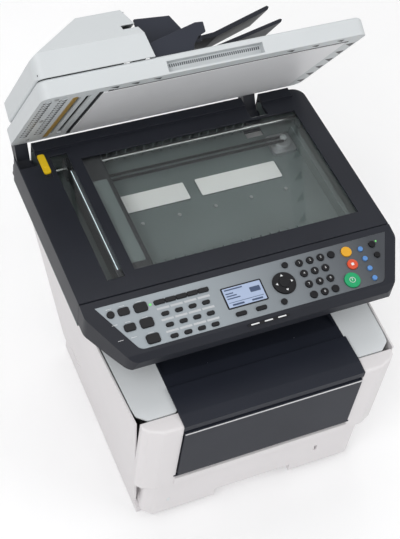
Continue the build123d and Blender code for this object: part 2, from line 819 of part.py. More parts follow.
def control_housing():
    reach = math.cos(math.radians(panel_tilt)) * panel_length
    fall = math.sin(math.radians(panel_tilt)) * panel_length
    front = -seam_gap - reach
    front_top = deck_top - fall
    side_points = [(-seam_gap, deck_low + 8), (-seam_gap, deck_top), (front + 8, front_top + 1.3),
                   (front, front_top - 7), (front + 2, front_top - panel_front_height),
                   (front + 34, deck_low + 8)]
    body = along_x(profile(side_points, 2), -half, half)
    slant = half - panel_inset
    plan = [(-half, -seam_gap), (half, -seam_gap), (half, -panel_side_straight), (slant, front - 0.01),
            (-slant, front - 0.01), (-half, -panel_side_straight)]
    body &= along_z(profile(plan, panel_corner, lambda found: found.sort_by(Axis.Y)[:4]), deck_low, deck_top + 1)
    body -= on_panel(plate_outline(fit_gap), -plate_thickness, 5)
    body -= on_panel(plate_outline(-plate_rest), -plate_thickness - key_depth - 2 * key_travel, 0)
    pocket = [(-4, deck_low + 6), (-4, deck_top - 14), (front + 20, front_top - 14),
              (front + 36, deck_low + 6)]
    hollow = along_x(profile(pocket), -slant + 6, slant - 6)
    return body - hollow


# Keys are given as centre across, distance down the slope, width, height and corner radius.
mode_key_places = [(-164.2, 28, 19, 14, 3.5), (-164.2, 53, 19, 14, 3.5), (-164.2, 78, 19, 14, 3.5)]
menu_key_places = [(-208.2, 27.5, 10.5, 10.5, 5.2), (-189.1, 27.5, 16, 11, 3), (-189.1, 53, 16, 11, 3)]
soft_key_places = [(-31.3, 77.5, 16, 6, 2.4), (0, 77.5, 16, 6, 2.4), (60.5, 23, 9, 9, 4.4), (35.8, 77.6, 9, 9, 4.4)]
power_key_places = [(202.5, 26.8, 10, 10, 4.9), (202.6, 45.3, 9, 9, 4.4)]
flat_key_pitch = 16.6
flat_key_places = [(-136.3 + n * flat_key_pitch, 27.5, 15.6, 6.5, 1.5) for n in range(5)]
touch_pitch_x = 20.5
touch_pitch_y = 17.9
touch_key_places = [(-134.5 + column * touch_pitch_x, 46.6 + row * touch_pitch_y, 11, 5.6, 2.4)
                    for row in range(3) for column in range(4)]
pad_pitch = 17.4
number_key_places = [(82.4 + column * pad_pitch, 25.7 + row * 17.9, 11, 11, 5.4)
                     for row in range(4) for column in range(3)] + [(134.4, 25.9, 11, 11, 5.4)]
quick_key_places = [(181.5, 29.5 + row * 16.8, 7.6, 7.6, 3.7) for row in range(4)]
start_place = (147.2, 74, 24, 24, 11.9)
stop_place = (158.8, 50, 16, 16, 7.9)
reset_place = (158.7, 28, 16, 16, 7.9)
ring_place = (47.6, 50, 34, 34, 16.9)
ok_place = (47.6, 50, 15, 15, 7.4)
lcd_place = (-15, 50, 60, 30, 1.5)
all_key_places = (mode_key_places + menu_key_places + soft_key_places + power_key_places + flat_key_places
                  + touch_key_places + number_key_places + quick_key_places
                  + [start_place, stop_place, reset_place, ring_place])


def key_face(place, grow=0.0):
    x, down, width, height, radius = place
    limit = min(width, height) / 2 + grow - 0.05
    face = RectangleRounded(width + 2 * grow, height + 2 * grow, min(radius + grow, limit))
    return Pos(x, -down) * face


def key_top(place, rise=key_height):
    return on_panel(key_face(place), -plate_thickness - key_depth, rise)


def control_plate():
    plate = on_panel(plate_outline(0), -plate_thickness, 0)
    for place in all_key_places:
        plate -= on_panel(key_face(place, key_gap), -plate_thickness - 1, 1)
    plate -= on_panel(key_face(lcd_place, fit_gap), -plate_thickness - 1, 1)
    return plate


def key_group(places):
    return Compound(children=[key_top(place) for place in places])


def nav_ring():
    ring = key_top(ring_place, key_height + 0.6)
    return ring - on_panel(key_face(ok_place, key_gap), -plate_thickness - key_depth - 1, key_height + 4)


def lcd_window():
    return on_panel(key_face(lcd_place), -plate_thickness - key_depth, -0.4)


# Scanner cover, built closed and then swung open about its hinge

def opened(shape):
    axis = Axis((0, pivot_y, pivot_z), (1, 0, 0))
    return shape.rotate(axis, -rest_open)


def cover_shell():
    outline = rectangle(cover_left, cover_right, cover_front, cover_back)
    outer = along_z(profile(outline, cover_corner), cover_low, cover_top)
    outer = fillet(outer.faces().sort_by(Axis.Z)[-1].edges(), 6)
    inner = rectangle(cover_left + cover_skin, cover_right - cover_skin, cover_front + cover_skin,
                      cover_back - cover_skin)
    shell = outer - along_z(profile(inner, cover_corner - cover_skin), cover_low - 1, cover_top - cover_skin)
    grip_low = -65.0
    grip_high = 78.0
    shell += block(grip_low - 4, grip_high + 4, cover_front + 1, cover_front + 17, cover_low + 4, cover_low + 22)
    shell -= block(grip_low, grip_high, cover_front - 1, cover_front + 12, cover_low + 3, cover_low + 18)
    return shell - feeder_floor_cut()


def feeder_floor_cut():
    right = cover_left + feeder_width
    return block(cover_left + 14, right - 14, cover_front + 12, cover_front + feeder_depth - 12,
                 cover_low + frame_thickness + 2, cover_top + 1)


def cover_frame():
    gap = cover_skin + fit_gap
    outline = rectangle(cover_left + gap, cover_right - gap, cover_front + gap, cover_back - gap)
    frame = along_z(profile(outline, cover_corner - gap), cover_low, cover_low + frame_thickness)
    seat = pad_overlap + fit_gap
    frame -= block(glass_left - seat, glass_right + seat, glass_front - seat, cover_back - 12,
                   cover_low - 1, cover_low + pad_thickness - cover_gap + pad_lift + fit_gap)
    slot_low = slit_left + 4
    frame -= block(slot_low, slot_low + 5, slit_front + 4, slit_back - 34, cover_low - 1, cover_low + 20)
    frame -= block(slot_low + 12, slot_low + 19, slit_front + 4, slit_back - 34, cover_low - 1, cover_low + 20)
    pitch = 12.5
    for index in range(17):
        y = cover_front + 14 + index * pitch
        for x in (cover_left + 8, cover_left + 30):
            frame -= block(x, x + 9, y, y + 7, cover_low - 1, cover_low + 1.8)
    return frame


def cover_pad():
    low = deck_top + pad_lift
    return block(glass_left - pad_overlap, glass_right + pad_overlap, glass_front - pad_overlap,
                 cover_back - 12.3, low, low + pad_thickness)


def hinge_arms():
    arms = []
    for x in (hinge_left_x, hinge_right_x):
        points = [(cover_back - 1.5, cover_low + 4), (cover_back - 1.5, cover_top - 4),
                  (pivot_y - 4, cover_top - 8), (pivot_y + arm_boss - 1, pivot_z + 4),
                  (pivot_y - 9, pivot_z - 2), (pivot_y - 11, pivot_z + 10)]
        arm = along_x(profile(points), x - arm_width / 2, x + arm_width / 2)
        arm += rod_x(arm_boss, x - arm_width / 2, x + arm_width / 2, pivot_y, pivot_z)
        arm -= rod_x(pin_radius + running_fit, x - arm_width, x + arm_width, pivot_y, pivot_z)
        arm -= block(x - arm_width, x + arm_width, cover_front, cover_back, cover_low - 20, cover_top)
        arms.append(arm)
    return Compound(children=arms)


feeder_right = cover_left + feeder_width
feeder_low = cover_top + 0.5
feeder_back = cover_front + feeder_depth


def feeder_block(inset):
    left = cover_left + inset
    right = feeder_right - inset
    top = feeder_low + feeder_height - inset
    low = feeder_low - (1 if inset else 0)
    front = cover_front + inset
    back = feeder_back - inset
    across = [(left, low), (left, feeder_low + feeder_left_height - inset / 2),
              (left + feeder_top_left - inset / 2, top), (right - feeder_top_right, top), (right, low)]
    body = along_y(profile(across, 5.4, lambda found: found.sort_by(Axis.X)[:1]), front, back)
    deep = [(front, low), (front, feeder_low + feeder_front_height - inset / 2),
            (front + feeder_slope_depth, top), (back - 14, top), (back, top - 30), (back, low)]
    body &= along_x(profile(deep), left - 1, right + 1)
    plan = rectangle(left, right, front, back)
    rounding = max(cover_corner - inset, 2)
    return body & along_z(profile(plan, rounding, lambda found: found.sort_by(Axis.X)[:2]), low, top)


def feeder_cover():
    cover = feeder_block(0) - feeder_block(feeder_skin)
    pin_x = cover_left + feeder_pivot_inset
    pin_z = cover_top + feeder_pivot_lift
    cover += block(pin_x - 2, pin_x + 2.5, cover_front + 8, feeder_back - 8, pin_z - 2, pin_z + 3)
    cover -= rod_y_axis(2 + running_fit, cover_front + 4, feeder_back - 4, pin_x, pin_z)
    cover -= block(feeder_right - 30, feeder_right + 1, cover_front + 12, feeder_back - 4, feeder_low - 1,
                   cover_low + tray_low + 38)
    return cover


def feeder_pin():
    pin_x = cover_left + feeder_pivot_inset
    pin_z = cover_top + feeder_pivot_lift
    return rod_y_axis(2, cover_front + 6, feeder_back - 6, pin_x, pin_z)


def feed_unit():
    left = cover_left + 24
    right = feeder_right - 40
    low = cover_low + frame_thickness + 3
    high = feed_roller_z + 10
    front = cover_front + 18
    back = feeder_back - 18
    body = block(left, right, front, back, low, high)
    body -= rod_y_axis(feed_roller_radius + 1, front + 8, back - 8, feed_roller_x, feed_roller_z)
    body -= block(feed_roller_x - 14, feed_roller_x + 14, front + 8, back - 8, feed_roller_z, high + 1)
    body -= rod_y_axis(shaft_radius + running_fit, front - 1, back + 1, feed_roller_x, feed_roller_z)
    return Compound(children=[body, feeder_pin()])


feed_roller_radius = 11.0
feed_roller_x = cover_left + 86.0
feed_roller_z = cover_top + 22.0


def feed_roller():
    roller = rod_y_axis(shaft_radius, cover_front + 16, feeder_back - 16, feed_roller_x, feed_roller_z)
    for y in (92, 132):
        roller += rod_y_axis(feed_roller_radius, y - 12, y + 12, feed_roller_x, feed_roller_z)
    flat = block(feed_roller_x - 6, feed_roller_x + 6, cover_front + 15, cover_front + 17.5,
                 feed_roller_z + 2.5, feed_roller_z + 6)
    return roller - flat


# Document tray on the feeder

tray_left = feeder_right - 12.0
tray_right = tray_left + tray_length
tray_base = cover_top + 0.5


def tray_height(x):
    return cover_low + tray_low + (x - tray_left) / tray_length * tray_rise


def document_tray():
    low_level = tray_height(tray_left)
    high_level = tray_height(tray_right)
    top = [(tray_left, low_level), (tray_right, high_level), (tray_right, high_level - tray_skin),
           (tray_left, low_level - tray_skin)]
    tray = along_y(profile(top), tray_front, tray_back)
    wall = [(feeder_right + 3, tray_base), (feeder_right + 62, tray_base), (feeder_right + 65, tray_base + 10),
            (feeder_right + 74, tray_base + 20), (tray_right, tray_base + 24), (tray_right, high_level + 4),
            (tray_right - 12, high_level + 5), (feeder_right - 8, low_level + 4), (feeder_right - 8, low_level - 8)]
    for y in (tray_front, tray_back - 4):
        tray += along_y(profile(wall, 1.5), y, y + 4)
    for y in (flap_front - 8, flap_front + flap_depth + 1):
        ear = profile([(tray_right - 8, high_level - 14), (tray_right + 6, high_level - 14),
                       (tray_right + 6, high_level), (tray_right - 8, high_level)], 3)
        tray += along_y(ear, y, y + 7)
    tray -= rod_y_axis(flap_pin_radius + running_fit, flap_front - 9, flap_front + flap_depth + 9,
                       tray_right + 1, high_level - 8)
    tray -= block(tray_left + 26, tray_right - 26, tray_front + 22, tray_back - 22, low_level - 20, high_level - 6)
    return tray


def upper_flap():
    x = tray_right + 1
    z = tray_height(tray_right) - 8
    points = [(x - 3, z - 2.5), (x + 30, z - 2), (x + flap_length, z + 22), (x + flap_length + 3, z + 26),
              (x + flap_length, z + 28), (x + 28, z + 5), (x - 3, z + 3)]
    flap = along_y(profile(points, 1), flap_front, flap_front + flap_depth)
    return flap + rod_y_axis(flap_pin_radius, flap_front - 7, flap_front + flap_depth + 7, x, z)


def eject_tray():
    x = feeder_right + 76
    z = tray_base + 5
    plate = block(feeder_right + 6, x - 6, tray_front + 6, tray_back - 6, cover_top, cover_top + 3)
    for y in (flap_front - 6, flap_front + flap_depth + 1):
        plate += block(x - 8, x + 5, y, y + 5, cover_top, z + 5)
    return plate - rod_y_axis(flap_pin_radius + running_fit, flap_front - 8, flap_front + flap_depth + 8, x, z)


def lower_flap():
    x = feeder_right + 76
    z = tray_base + 5
    points = [(x - 3, z - 2.5), (x + 26, z - 1), (x + flap_length + 26, z + 22), (x + flap_length + 29, z + 26),
              (x + flap_length + 25, z + 27), (x + 24, z + 4.5), (x - 3, z + 2.5)]
    flap = along_y(profile(points, 1), flap_front, flap_front + flap_depth)
    return flap + rod_y_axis(flap_pin_radius, flap_front - 5, flap_front + flap_depth + 5, x, z)


def width_guide(front):
    y = tray_front + 30 if front else tray_back - 34
    x_low = tray_left + 12
    x_high = tray_left + 76
    low = tray_height(x_low)
    high = tray_height(x_high)
    crest = cover_low + guide_crest if front else high + 16
    points = [(x_low, low + 0.6), (x_high, high + 0.6), (x_high, high + 12), (x_high - 12, crest - 4),
              (x_low, crest)]
    return along_y(profile(points, 0.8), y, y + 4)


parts = {
    "deck_frame": deck_frame(),
    "scanner_pan": scanner_pan(),
    "scan_glasses": scan_glasses(),
    "carriage_rod": carriage_rod(),
    "scan_carriage": scan_carriage(),
    "scan_motor": scan_motor(),
    "lock_tab": lock_tab(),
    "hinge_base": hinge_base(),
    "side_cover_left": side_cover(),
    "side_cover_right": mirrored(side_cover()),
    "rear_panel": rear_panel(),
    "rear_door": rear_door(),
    "rear_sockets": Compound([data_sockets(), power_socket()]),
    "base_frame": base_frame(),
    "engine_frame": engine_frame(),
    "pickup_roller": pickup_roller(),
    "drum_roller": drum_roller(),
    "drum_case": drum_case(),
    "drive_gear": drive_gear(),
    "main_motor": main_motor(),
    "toner_container": toner_container(),
    "laser_unit": laser_unit(),
    "fuser_unit": fuser_unit(),
    "exit_roller": exit_roller(),
    "output_tray": output_tray(),
    "top_panel_right": top_panel(),
    "top_panel_left": mirrored(top_panel()),
    "front_cover": front_cover(),
    "front_lip": front_lip(),
    "mp_tray": mp_tray(),
    "cassette": cassette(),
    "lift_plate": lift_plate(),
    "end_guide": end_guide(),
    "control_housing": control_housing(),
    "control_plate": control_plate(),
    "lcd_window": lcd_window(),
    "mode_keys": key_group(mode_key_places + menu_key_places),
    "soft_keys": key_group(soft_key_places),
    "power_keys": key_group(power_key_places),
    "touch_keys": key_group(flat_key_places + touch_key_places),
    "number_keys": key_group(number_key_places),
    "quick_keys": key_group(quick_key_places),
    "start_key": key_top(start_place),
    "stop_key": key_top(stop_place),
    "reset_key": key_top(reset_place),
    "nav_ring": nav_ring(),
    "ok_key": key_top(ok_place, key_height + 1.2),
}

cover_parts = {
    "cover_shell": cover_shell(),
    "cover_frame": cover_frame(),
    "cover_pad": cover_pad(),
    "hinge_arms": hinge_arms(),
    "feeder_cover": feeder_cover(),
    "feed_unit": feed_unit(),
    "feed_roller": feed_roller(),
    "document_tray": document_tray(),
    "upper_flap": upper_flap(),
    "eject_tray": eject_tray(),
    "lower_flap": lower_flap(),
    "width_guide_front": width_guide(True),
    "width_guide_rear": width_guide(False),
}

os.makedirs("parts", exist_ok=True)
for name, shape in parts.items():
    export_step(shape, "parts/" + name + ".step")
for name, shape in cover_parts.items():
    export_step(opened(shape), "parts/" + name + ".step")
print(len(parts) + len(cover_parts), "nodes")
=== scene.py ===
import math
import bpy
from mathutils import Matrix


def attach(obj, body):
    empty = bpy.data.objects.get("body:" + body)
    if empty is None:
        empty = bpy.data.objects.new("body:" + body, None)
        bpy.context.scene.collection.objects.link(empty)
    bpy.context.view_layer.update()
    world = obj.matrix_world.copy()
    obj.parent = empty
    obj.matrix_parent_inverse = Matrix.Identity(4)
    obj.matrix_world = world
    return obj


bl_info = {
    "name": "Office printer with a raised scanner cover",
    "version": (1, 0, 0),
    "blender": (4, 5, 0),
    "location": "View3D > Sidebar > Printer",
    "description": "Gives the packed printer its finishes, its small trims and a plain studio",
    "category": "Object",
}

import bmesh
import bpy
from mathutils import Euler, Matrix, Vector

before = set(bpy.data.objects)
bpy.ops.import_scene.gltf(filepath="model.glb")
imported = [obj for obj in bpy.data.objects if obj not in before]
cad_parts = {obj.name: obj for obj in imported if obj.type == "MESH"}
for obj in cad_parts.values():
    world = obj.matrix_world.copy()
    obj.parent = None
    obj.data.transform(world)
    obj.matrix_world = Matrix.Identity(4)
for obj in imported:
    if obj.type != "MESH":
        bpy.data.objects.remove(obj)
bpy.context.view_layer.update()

MM = 0.001
PANEL_TILT = math.radians(9.0)
COVER_OPEN = math.radians(58.0)
COVER_PIVOT = Vector((0.0, 290.4, 344.7))
PANEL_SEAM = Vector((0.0, -0.6, 376.0))

# Placements turn a piece drawn flat, in millimetres, on to the face that carries it.
UPRIGHT = Matrix.Identity(4)
ON_PANEL = Matrix.Translation(PANEL_SEAM) @ Matrix.Rotation(PANEL_TILT, 4, "X")
ON_COVER = (Matrix.Translation(COVER_PIVOT) @ Matrix.Rotation(-COVER_OPEN, 4, "X")
            @ Matrix.Translation(-COVER_PIVOT))
TO_FRONT = Matrix(((1, 0, 0, 0), (0, 0, -1, 0), (0, 1, 0, 0), (0, 0, 0, 1)))
TO_BACK = Matrix(((-1, 0, 0, 0), (0, 0, 1, 0), (0, 1, 0, 0), (0, 0, 0, 1)))

# Faces that carry trims, in millimetres. The cover's are those of the shut cover.
COVER_UNDERSIDE = 378.0
BED_FLOOR = 331.0
CARRIAGE_TOP = 366.0
KEY_TOP = 2.2
RING_TOP = 2.8
PRINT_GAP = 0.02

# Shapes
RIM_SEGMENTS, RIM_PROFILE = 2, 0.6
RING_RIM = 0.3
SHARP_ANGLE = math.radians(35)
CHARACTER_DEPTH = 0.04
STUD_SIDES = 20

# Sockets of a colour mix node, whose names repeat
MIX_FACTOR, MIX_A, MIX_B, MIX_RESULT = 0, 6, 7, 2

# Finishes
EDGE_SAMPLES = 4
EDGE_ROUND = 0.0008
# Painted edge highlight: along every edge the colour is mixed towards a lighter one, as though light
# caught the edge.
HIGHLIGHT_ROUND = 0.0007
HIGHLIGHT_FROM, HIGHLIGHT_TO = 0.985, 0.86
GRAIN_HEIGHT = 0.0002
DRIFT_FROM, DRIFT_TO = 0.35, 0.7
HIGHLIGHT_LIFT, HIGHLIGHT_GAIN = 0.05, 1.15
COAT_ROUGHNESS = 0.12
PLATE_FADE_START, PLATE_FADE_END = -0.10, 0.20
GLASS_INDEX = 1.45
GLASS_ROUGHNESS, GLASS_SMEAR = 0.03, 0.04
GLASS_SHADOW = 0.15

# Studio, in metres and degrees
FLOOR_SIZE = 9.0
FLOOR_DROP = 0.0006
FLOOR_TONE = (0.93, 0.93, 0.935)
FLOOR_LIFT = 0.10
LAMPS = (("key_lamp", (-2.2, -1.6, 3.2), "key_power", 2.6),
         ("fill_lamp", (2.6, -1.8, 2.2), "fill_power", 2.4),
         ("top_lamp", (0.2, 1.6, 3.4), "fill_power", 2.4))
LAMP_TARGET = Vector((0.0, 0.0, 0.3))
SENSOR_HEIGHT = 24.0
CAMERA_PLACE = (-0.638454, -0.955407, 1.751501)
CAMERA_TURN = (38.720878, -6.450944, -23.035079)


# Shader node groups

def node_group(name, inputs, outputs):
    tree = bpy.data.node_groups.new(name, "ShaderNodeTree")
    for label, kind, value in inputs:
        socket = tree.interface.new_socket(label, in_out="INPUT", socket_type=kind)
        socket.default_value = value
    for label, kind in outputs:
        tree.interface.new_socket(label, in_out="OUTPUT", socket_type=kind)
    return tree, tree.nodes.new("NodeGroupInput"), tree.nodes.new("NodeGroupOutput")


def noise(tree, scale, detail):
    place = tree.nodes.new("ShaderNodeTexCoord")
    cloud = tree.nodes.new("ShaderNodeTexNoise")
    cloud.inputs["Detail"].default_value = detail
    tree.links.new(place.outputs["Object"], cloud.inputs["Vector"])
    tree.links.new(scale, cloud.inputs["Scale"])
    return cloud.outputs["Fac"]


def moulded_grain_group():
    """Fine moulded texture with the small round that every plastic edge has."""
    tree, start, end = node_group("Moulded grain", (("Scale", "NodeSocketFloat", 1200.0),
                                                    ("Depth", "NodeSocketFloat", 0.08),
                                                    ("Edge Radius", "NodeSocketFloat", EDGE_ROUND)),
                                  (("Normal", "NodeSocketVector"),))
    edge = tree.nodes.new("ShaderNodeBevel")
    edge.samples = EDGE_SAMPLES
    bump = tree.nodes.new("ShaderNodeBump")
    bump.inputs["Distance"].default_value = GRAIN_HEIGHT
    tree.links.new(start.outputs["Edge Radius"], edge.inputs["Radius"])
    tree.links.new(edge.outputs["Normal"], bump.inputs["Normal"])
    tree.links.new(noise(tree, start.outputs["Scale"], 3.0), bump.inputs["Height"])
    tree.links.new(start.outputs["Depth"], bump.inputs["Strength"])
    tree.links.new(bump.outputs["Normal"], end.inputs["Normal"])
    return tree


def tone_drift_group():
    """Slow change of tone over a moulding, and a painted highlight that lightens every edge."""
    tree, start, end = node_group("Tone drift", (("Colour", "NodeSocketColor", (0.5, 0.5, 0.5, 1.0)),
                                                 ("Shade", "NodeSocketColor", (0.4, 0.4, 0.4, 1.0)),
                                                 ("Rubbed", "NodeSocketColor", (0.6, 0.6, 0.6, 1.0)),
                                                 ("Scale", "NodeSocketFloat", 9.0),
                                                 ("Edge Wear", "NodeSocketFloat", 0.3)),
                                  (("Colour", "NodeSocketColor"), ("Edge", "NodeSocketFloat")))
    spread = tree.nodes.new("ShaderNodeMapRange")
    spread.inputs["From Min"].default_value = DRIFT_FROM
    spread.inputs["From Max"].default_value = DRIFT_TO
    tree.links.new(noise(tree, start.outputs["Scale"], 4.0), spread.inputs["Value"])
    tone = tree.nodes.new("ShaderNodeMix")
    tone.data_type = "RGBA"
    tree.links.new(spread.outputs["Result"], tone.inputs[MIX_FACTOR])
    tree.links.new(start.outputs["Colour"], tone.inputs[MIX_A])
    tree.links.new(start.outputs["Shade"], tone.inputs[MIX_B])
    # Painted highlight: a lighter colour mixed in along every edge.
    edge = tree.nodes.new("ShaderNodeBevel")
    edge.samples = EDGE_SAMPLES
    edge.inputs["Radius"].default_value = HIGHLIGHT_ROUND
    facing = tree.nodes.new("ShaderNodeNewGeometry")
    along = tree.nodes.new("ShaderNodeVectorMath")
    along.operation = "DOT_PRODUCT"
    tree.links.new(edge.outputs["Normal"], along.inputs[0])
    tree.links.new(facing.outputs["Normal"], along.inputs[1])
    near = tree.nodes.new("ShaderNodeMapRange")
    near.inputs["From Min"].default_value = HIGHLIGHT_FROM
    near.inputs["From Max"].default_value = HIGHLIGHT_TO
    near.inputs["To Max"].default_value = 1.0
    tree.links.new(along.outputs["Value"], near.inputs["Value"])
    highlight_mask = tree.nodes.new("ShaderNodeMath")
    highlight_mask.operation = "MULTIPLY"
    tree.links.new(near.outputs["Result"], highlight_mask.inputs[0])
    tree.links.new(start.outputs["Edge Wear"], highlight_mask.inputs[1])
    highlight_mix = tree.nodes.new("ShaderNodeMix")
    highlight_mix.data_type = "RGBA"
    tree.links.new(highlight_mask.outputs["Value"], highlight_mix.inputs[MIX_FACTOR])
    tree.links.new(tone.outputs[MIX_RESULT], highlight_mix.inputs[MIX_A])
    tree.links.new(start.outputs["Rubbed"], highlight_mix.inputs[MIX_B])
    tree.links.new(highlight_mix.outputs[MIX_RESULT], end.inputs["Colour"])
    tree.links.new(highlight_mask.outputs["Value"], end.inputs["Edge"])
    return tree


def handling_group():
    """Roughness that changes a little where hands and cloths have been."""
    tree, start, end = node_group("Handling", (("Roughness", "NodeSocketFloat", 0.5),
                                               ("Change", "NodeSocketFloat", 0.06),
                                               ("Scale", "NodeSocketFloat", 26.0)),
                                  (("Roughness", "NodeSocketFloat"),))
    centred = tree.nodes.new("ShaderNodeMath")
    centred.operation = "SUBTRACT"
    centred.inputs[1].default_value = 0.5
    tree.links.new(noise(tree, start.outputs["Scale"], 5.0), centred.inputs[0])
    scaled = tree.nodes.new("ShaderNodeMath")
    scaled.operation = "MULTIPLY_ADD"
    tree.links.new(centred.outputs["Value"], scaled.inputs[0])
    tree.links.new(start.outputs["Change"], scaled.inputs[1])
    tree.links.new(start.outputs["Roughness"], scaled.inputs[2])
    tree.links.new(scaled.outputs["Value"], end.inputs["Roughness"])
    return tree


GROUPS = {}


def placed_group(tree, name):
    node = tree.nodes.new("ShaderNodeGroup")
    node.node_tree = GROUPS[name]
    return node


def toned(colour, factor):
    return tuple(min(max(part * factor, 0.0), 1.0) for part in colour[:3]) + (1.0,)


def finish(name, colour, roughness, grain=1200.0, depth=0.08, drift=0.94, edge_highlight=0.25, metallic=0.0,
           coat=0.0, specular=0.5):
    """A procedural finish: slow tone drift, painted edge highlights, handled gloss and moulded grain."""
    look = bpy.data.materials.new(name)
    look.use_nodes = True
    tree = look.node_tree
    shader = tree.nodes["Principled BSDF"]
    shader.inputs["Metallic"].default_value = metallic
    shader.inputs["Coat Weight"].default_value = coat
    shader.inputs["Coat Roughness"].default_value = COAT_ROUGHNESS
    shader.inputs["Specular IOR Level"].default_value = specular
    tone = placed_group(tree, "Tone drift")
    tone.inputs["Colour"].default_value = toned(colour, 1.0)
    tone.inputs["Shade"].default_value = toned(colour, drift)
    # Painted edge highlight: the lighter colour that every edge is mixed towards.
    tone.inputs["Rubbed"].default_value = toned([part + HIGHLIGHT_LIFT for part in colour[:3]], HIGHLIGHT_GAIN)
    tone.inputs["Edge Wear"].default_value = edge_highlight
    handled = placed_group(tree, "Handling")
    handled.inputs["Roughness"].default_value = roughness
    surface = placed_group(tree, "Moulded grain")
    surface.inputs["Scale"].default_value = grain
    surface.inputs["Depth"].default_value = depth
    tree.links.new(tone.outputs["Colour"], shader.inputs["Base Color"])
    tree.links.new(handled.outputs["Roughness"], shader.inputs["Roughness"])
    tree.links.new(surface.outputs["Normal"], shader.inputs["Normal"])
    return look


def plate_finish(name, light, dark):
    """Painted key plate that runs from light grey at its left to near black at its right."""
    look = finish(name, light, 0.42, depth=0.03)
    tree = look.node_tree
    place = tree.nodes.new("ShaderNodeTexCoord")
    parts = tree.nodes.new("ShaderNodeSeparateXYZ")
    run = tree.nodes.new("ShaderNodeMapRange")
    run.inputs["From Min"].default_value = PLATE_FADE_START
    run.inputs["From Max"].default_value = PLATE_FADE_END
    mix = tree.nodes.new("ShaderNodeMix")
    mix.data_type = "RGBA"
    mix.inputs[MIX_A].default_value = toned(light, 1.0)
    mix.inputs[MIX_B].default_value = toned(dark, 1.0)
    tree.links.new(place.outputs["Object"], parts.inputs[0])
    tree.links.new(parts.outputs["X"], run.inputs["Value"])
    tree.links.new(run.outputs["Result"], mix.inputs[MIX_FACTOR])
    tone = next(node for node in tree.nodes
                if node.type == "GROUP" and node.node_tree == GROUPS["Tone drift"])
    tree.links.new(mix.outputs[MIX_RESULT], tone.inputs["Colour"])
    tree.links.new(mix.outputs[MIX_RESULT], tone.inputs["Shade"])
    return look


def glass_finish(name, tint):
    """Clear float glass that lets the lamps reach the bed below."""
    look = bpy.data.materials.new(name)
    look.use_nodes = True
    tree = look.node_tree
    shader = tree.nodes["Principled BSDF"]
    shader.inputs["Base Color"].default_value = toned(tint, 1.0)
    shader.inputs["Transmission Weight"].default_value = 1.0
    shader.inputs["IOR"].default_value = GLASS_INDEX
    handled = placed_group(tree, "Handling")
    handled.inputs["Roughness"].default_value = GLASS_ROUGHNESS
    handled.inputs["Change"].default_value = GLASS_SMEAR
    tree.links.new(handled.outputs["Roughness"], shader.inputs["Roughness"])
    path = tree.nodes.new("ShaderNodeLightPath")
    through = tree.nodes.new("ShaderNodeMapRange")
    through.inputs["To Min"].default_value = 1.0
    through.inputs["To Max"].default_value = GLASS_SHADOW
    tree.links.new(path.outputs["Is Shadow Ray"], through.inputs["Value"])
    tree.links.new(through.outputs["Result"], shader.inputs["Alpha"])
    return look


def lit_finish(name, colour, strength):
    """Plastic that glows a little, for the lamp line and the indicator lights."""
    look = finish(name, colour, 0.35, depth=0.02, edge_highlight=0.0)
    shader = look.node_tree.nodes["Principled BSDF"]
    shader.inputs["Emission Color"].default_value = toned(colour, 1.0)
    shader.inputs["Emission Strength"].default_value = strength
    return look


def floor_finish(colour, lift):
    """Pale floor with a lift towards white that only the camera sees."""
    look = finish("Floor", colour, 0.45, depth=0.0, drift=0.99, edge_highlight=0.0)
    tree = look.node_tree
    shader = tree.nodes["Principled BSDF"]
    shader.inputs["Emission Color"].default_value = (1.0, 1.0, 1.0, 1.0)
    path = tree.nodes.new("ShaderNodeLightPath")
    level = tree.nodes.new("ShaderNodeMapRange")
    level.inputs["To Max"].default_value = lift
    tree.links.new(path.outputs["Is Camera Ray"], level.inputs["Value"])
    tree.links.new(level.outputs["Result"], shader.inputs["Emission Strength"])
    return look


# Looks by name: each has its material and the slot of the record that it belongs to.
LOOKS = {}


def add_look(name, slot, material):
    LOOKS[name] = (material, slot)


# Building pieces

def keep_object(name, mesh, look, body):
    obj = bpy.data.objects.new(name, mesh)
    bpy.context.scene.collection.objects.link(obj)
    material, slot = LOOKS[look]
    mesh.materials.clear()
    mesh.materials.append(material)
    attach(obj, body)
    return obj


def from_bmesh(name, shape, placement, look, body):
    mesh = bpy.data.meshes.new(name)
    shape.to_mesh(mesh)
    shape.free()
    mesh.transform(Matrix.Scale(MM, 4) @ placement)
    return keep_object(name, mesh, look, body)


def rounded(x_low, x_high, y_low, y_high, radius=0.0, steps=4):
    if radius <= 0.0:
        return [(x_low, y_low), (x_high, y_low), (x_high, y_high), (x_low, y_high)]
    centres = ((x_high - radius, y_low + radius, -90), (x_high - radius, y_high - radius, 0),
               (x_low + radius, y_high - radius, 90), (x_low + radius, y_low + radius, 180))
    points = []
    for x, y, start in centres:
        for step in range(steps + 1):
            angle = math.radians(start + 90 * step / steps)
            points.append((x + radius * math.cos(angle), y + radius * math.sin(angle)))
    return points


def add_slab(shape, outline, low, high, soften):
    lower = [shape.verts.new((x, y, low)) for x, y in outline]
    upper = [shape.verts.new((x, y, high)) for x, y in outline]
    shape.faces.new(list(reversed(lower)))
    top = shape.faces.new(upper)
    for index, corner in enumerate(lower):
        after = (index + 1) % len(lower)
        shape.faces.new((corner, lower[after], upper[after], upper[index]))
    if soften > 0.0:
        bmesh.ops.bevel(shape, geom=list(top.edges), offset=soften, offset_type="OFFSET",
                        segments=RIM_SEGMENTS, profile=RIM_PROFILE, affect="EDGES", clamp_overlap=True)


def slab(name, outlines, low, high, placement, look, body, soften=0.15):
    """One piece of one or more flat slabs with softened rims."""
    shape = bmesh.new()
    for outline in outlines:
        add_slab(shape, outline, low, high, soften)
    bmesh.ops.recalc_face_normals(shape, faces=shape.faces)
    return from_bmesh(name, shape, placement, look, body)


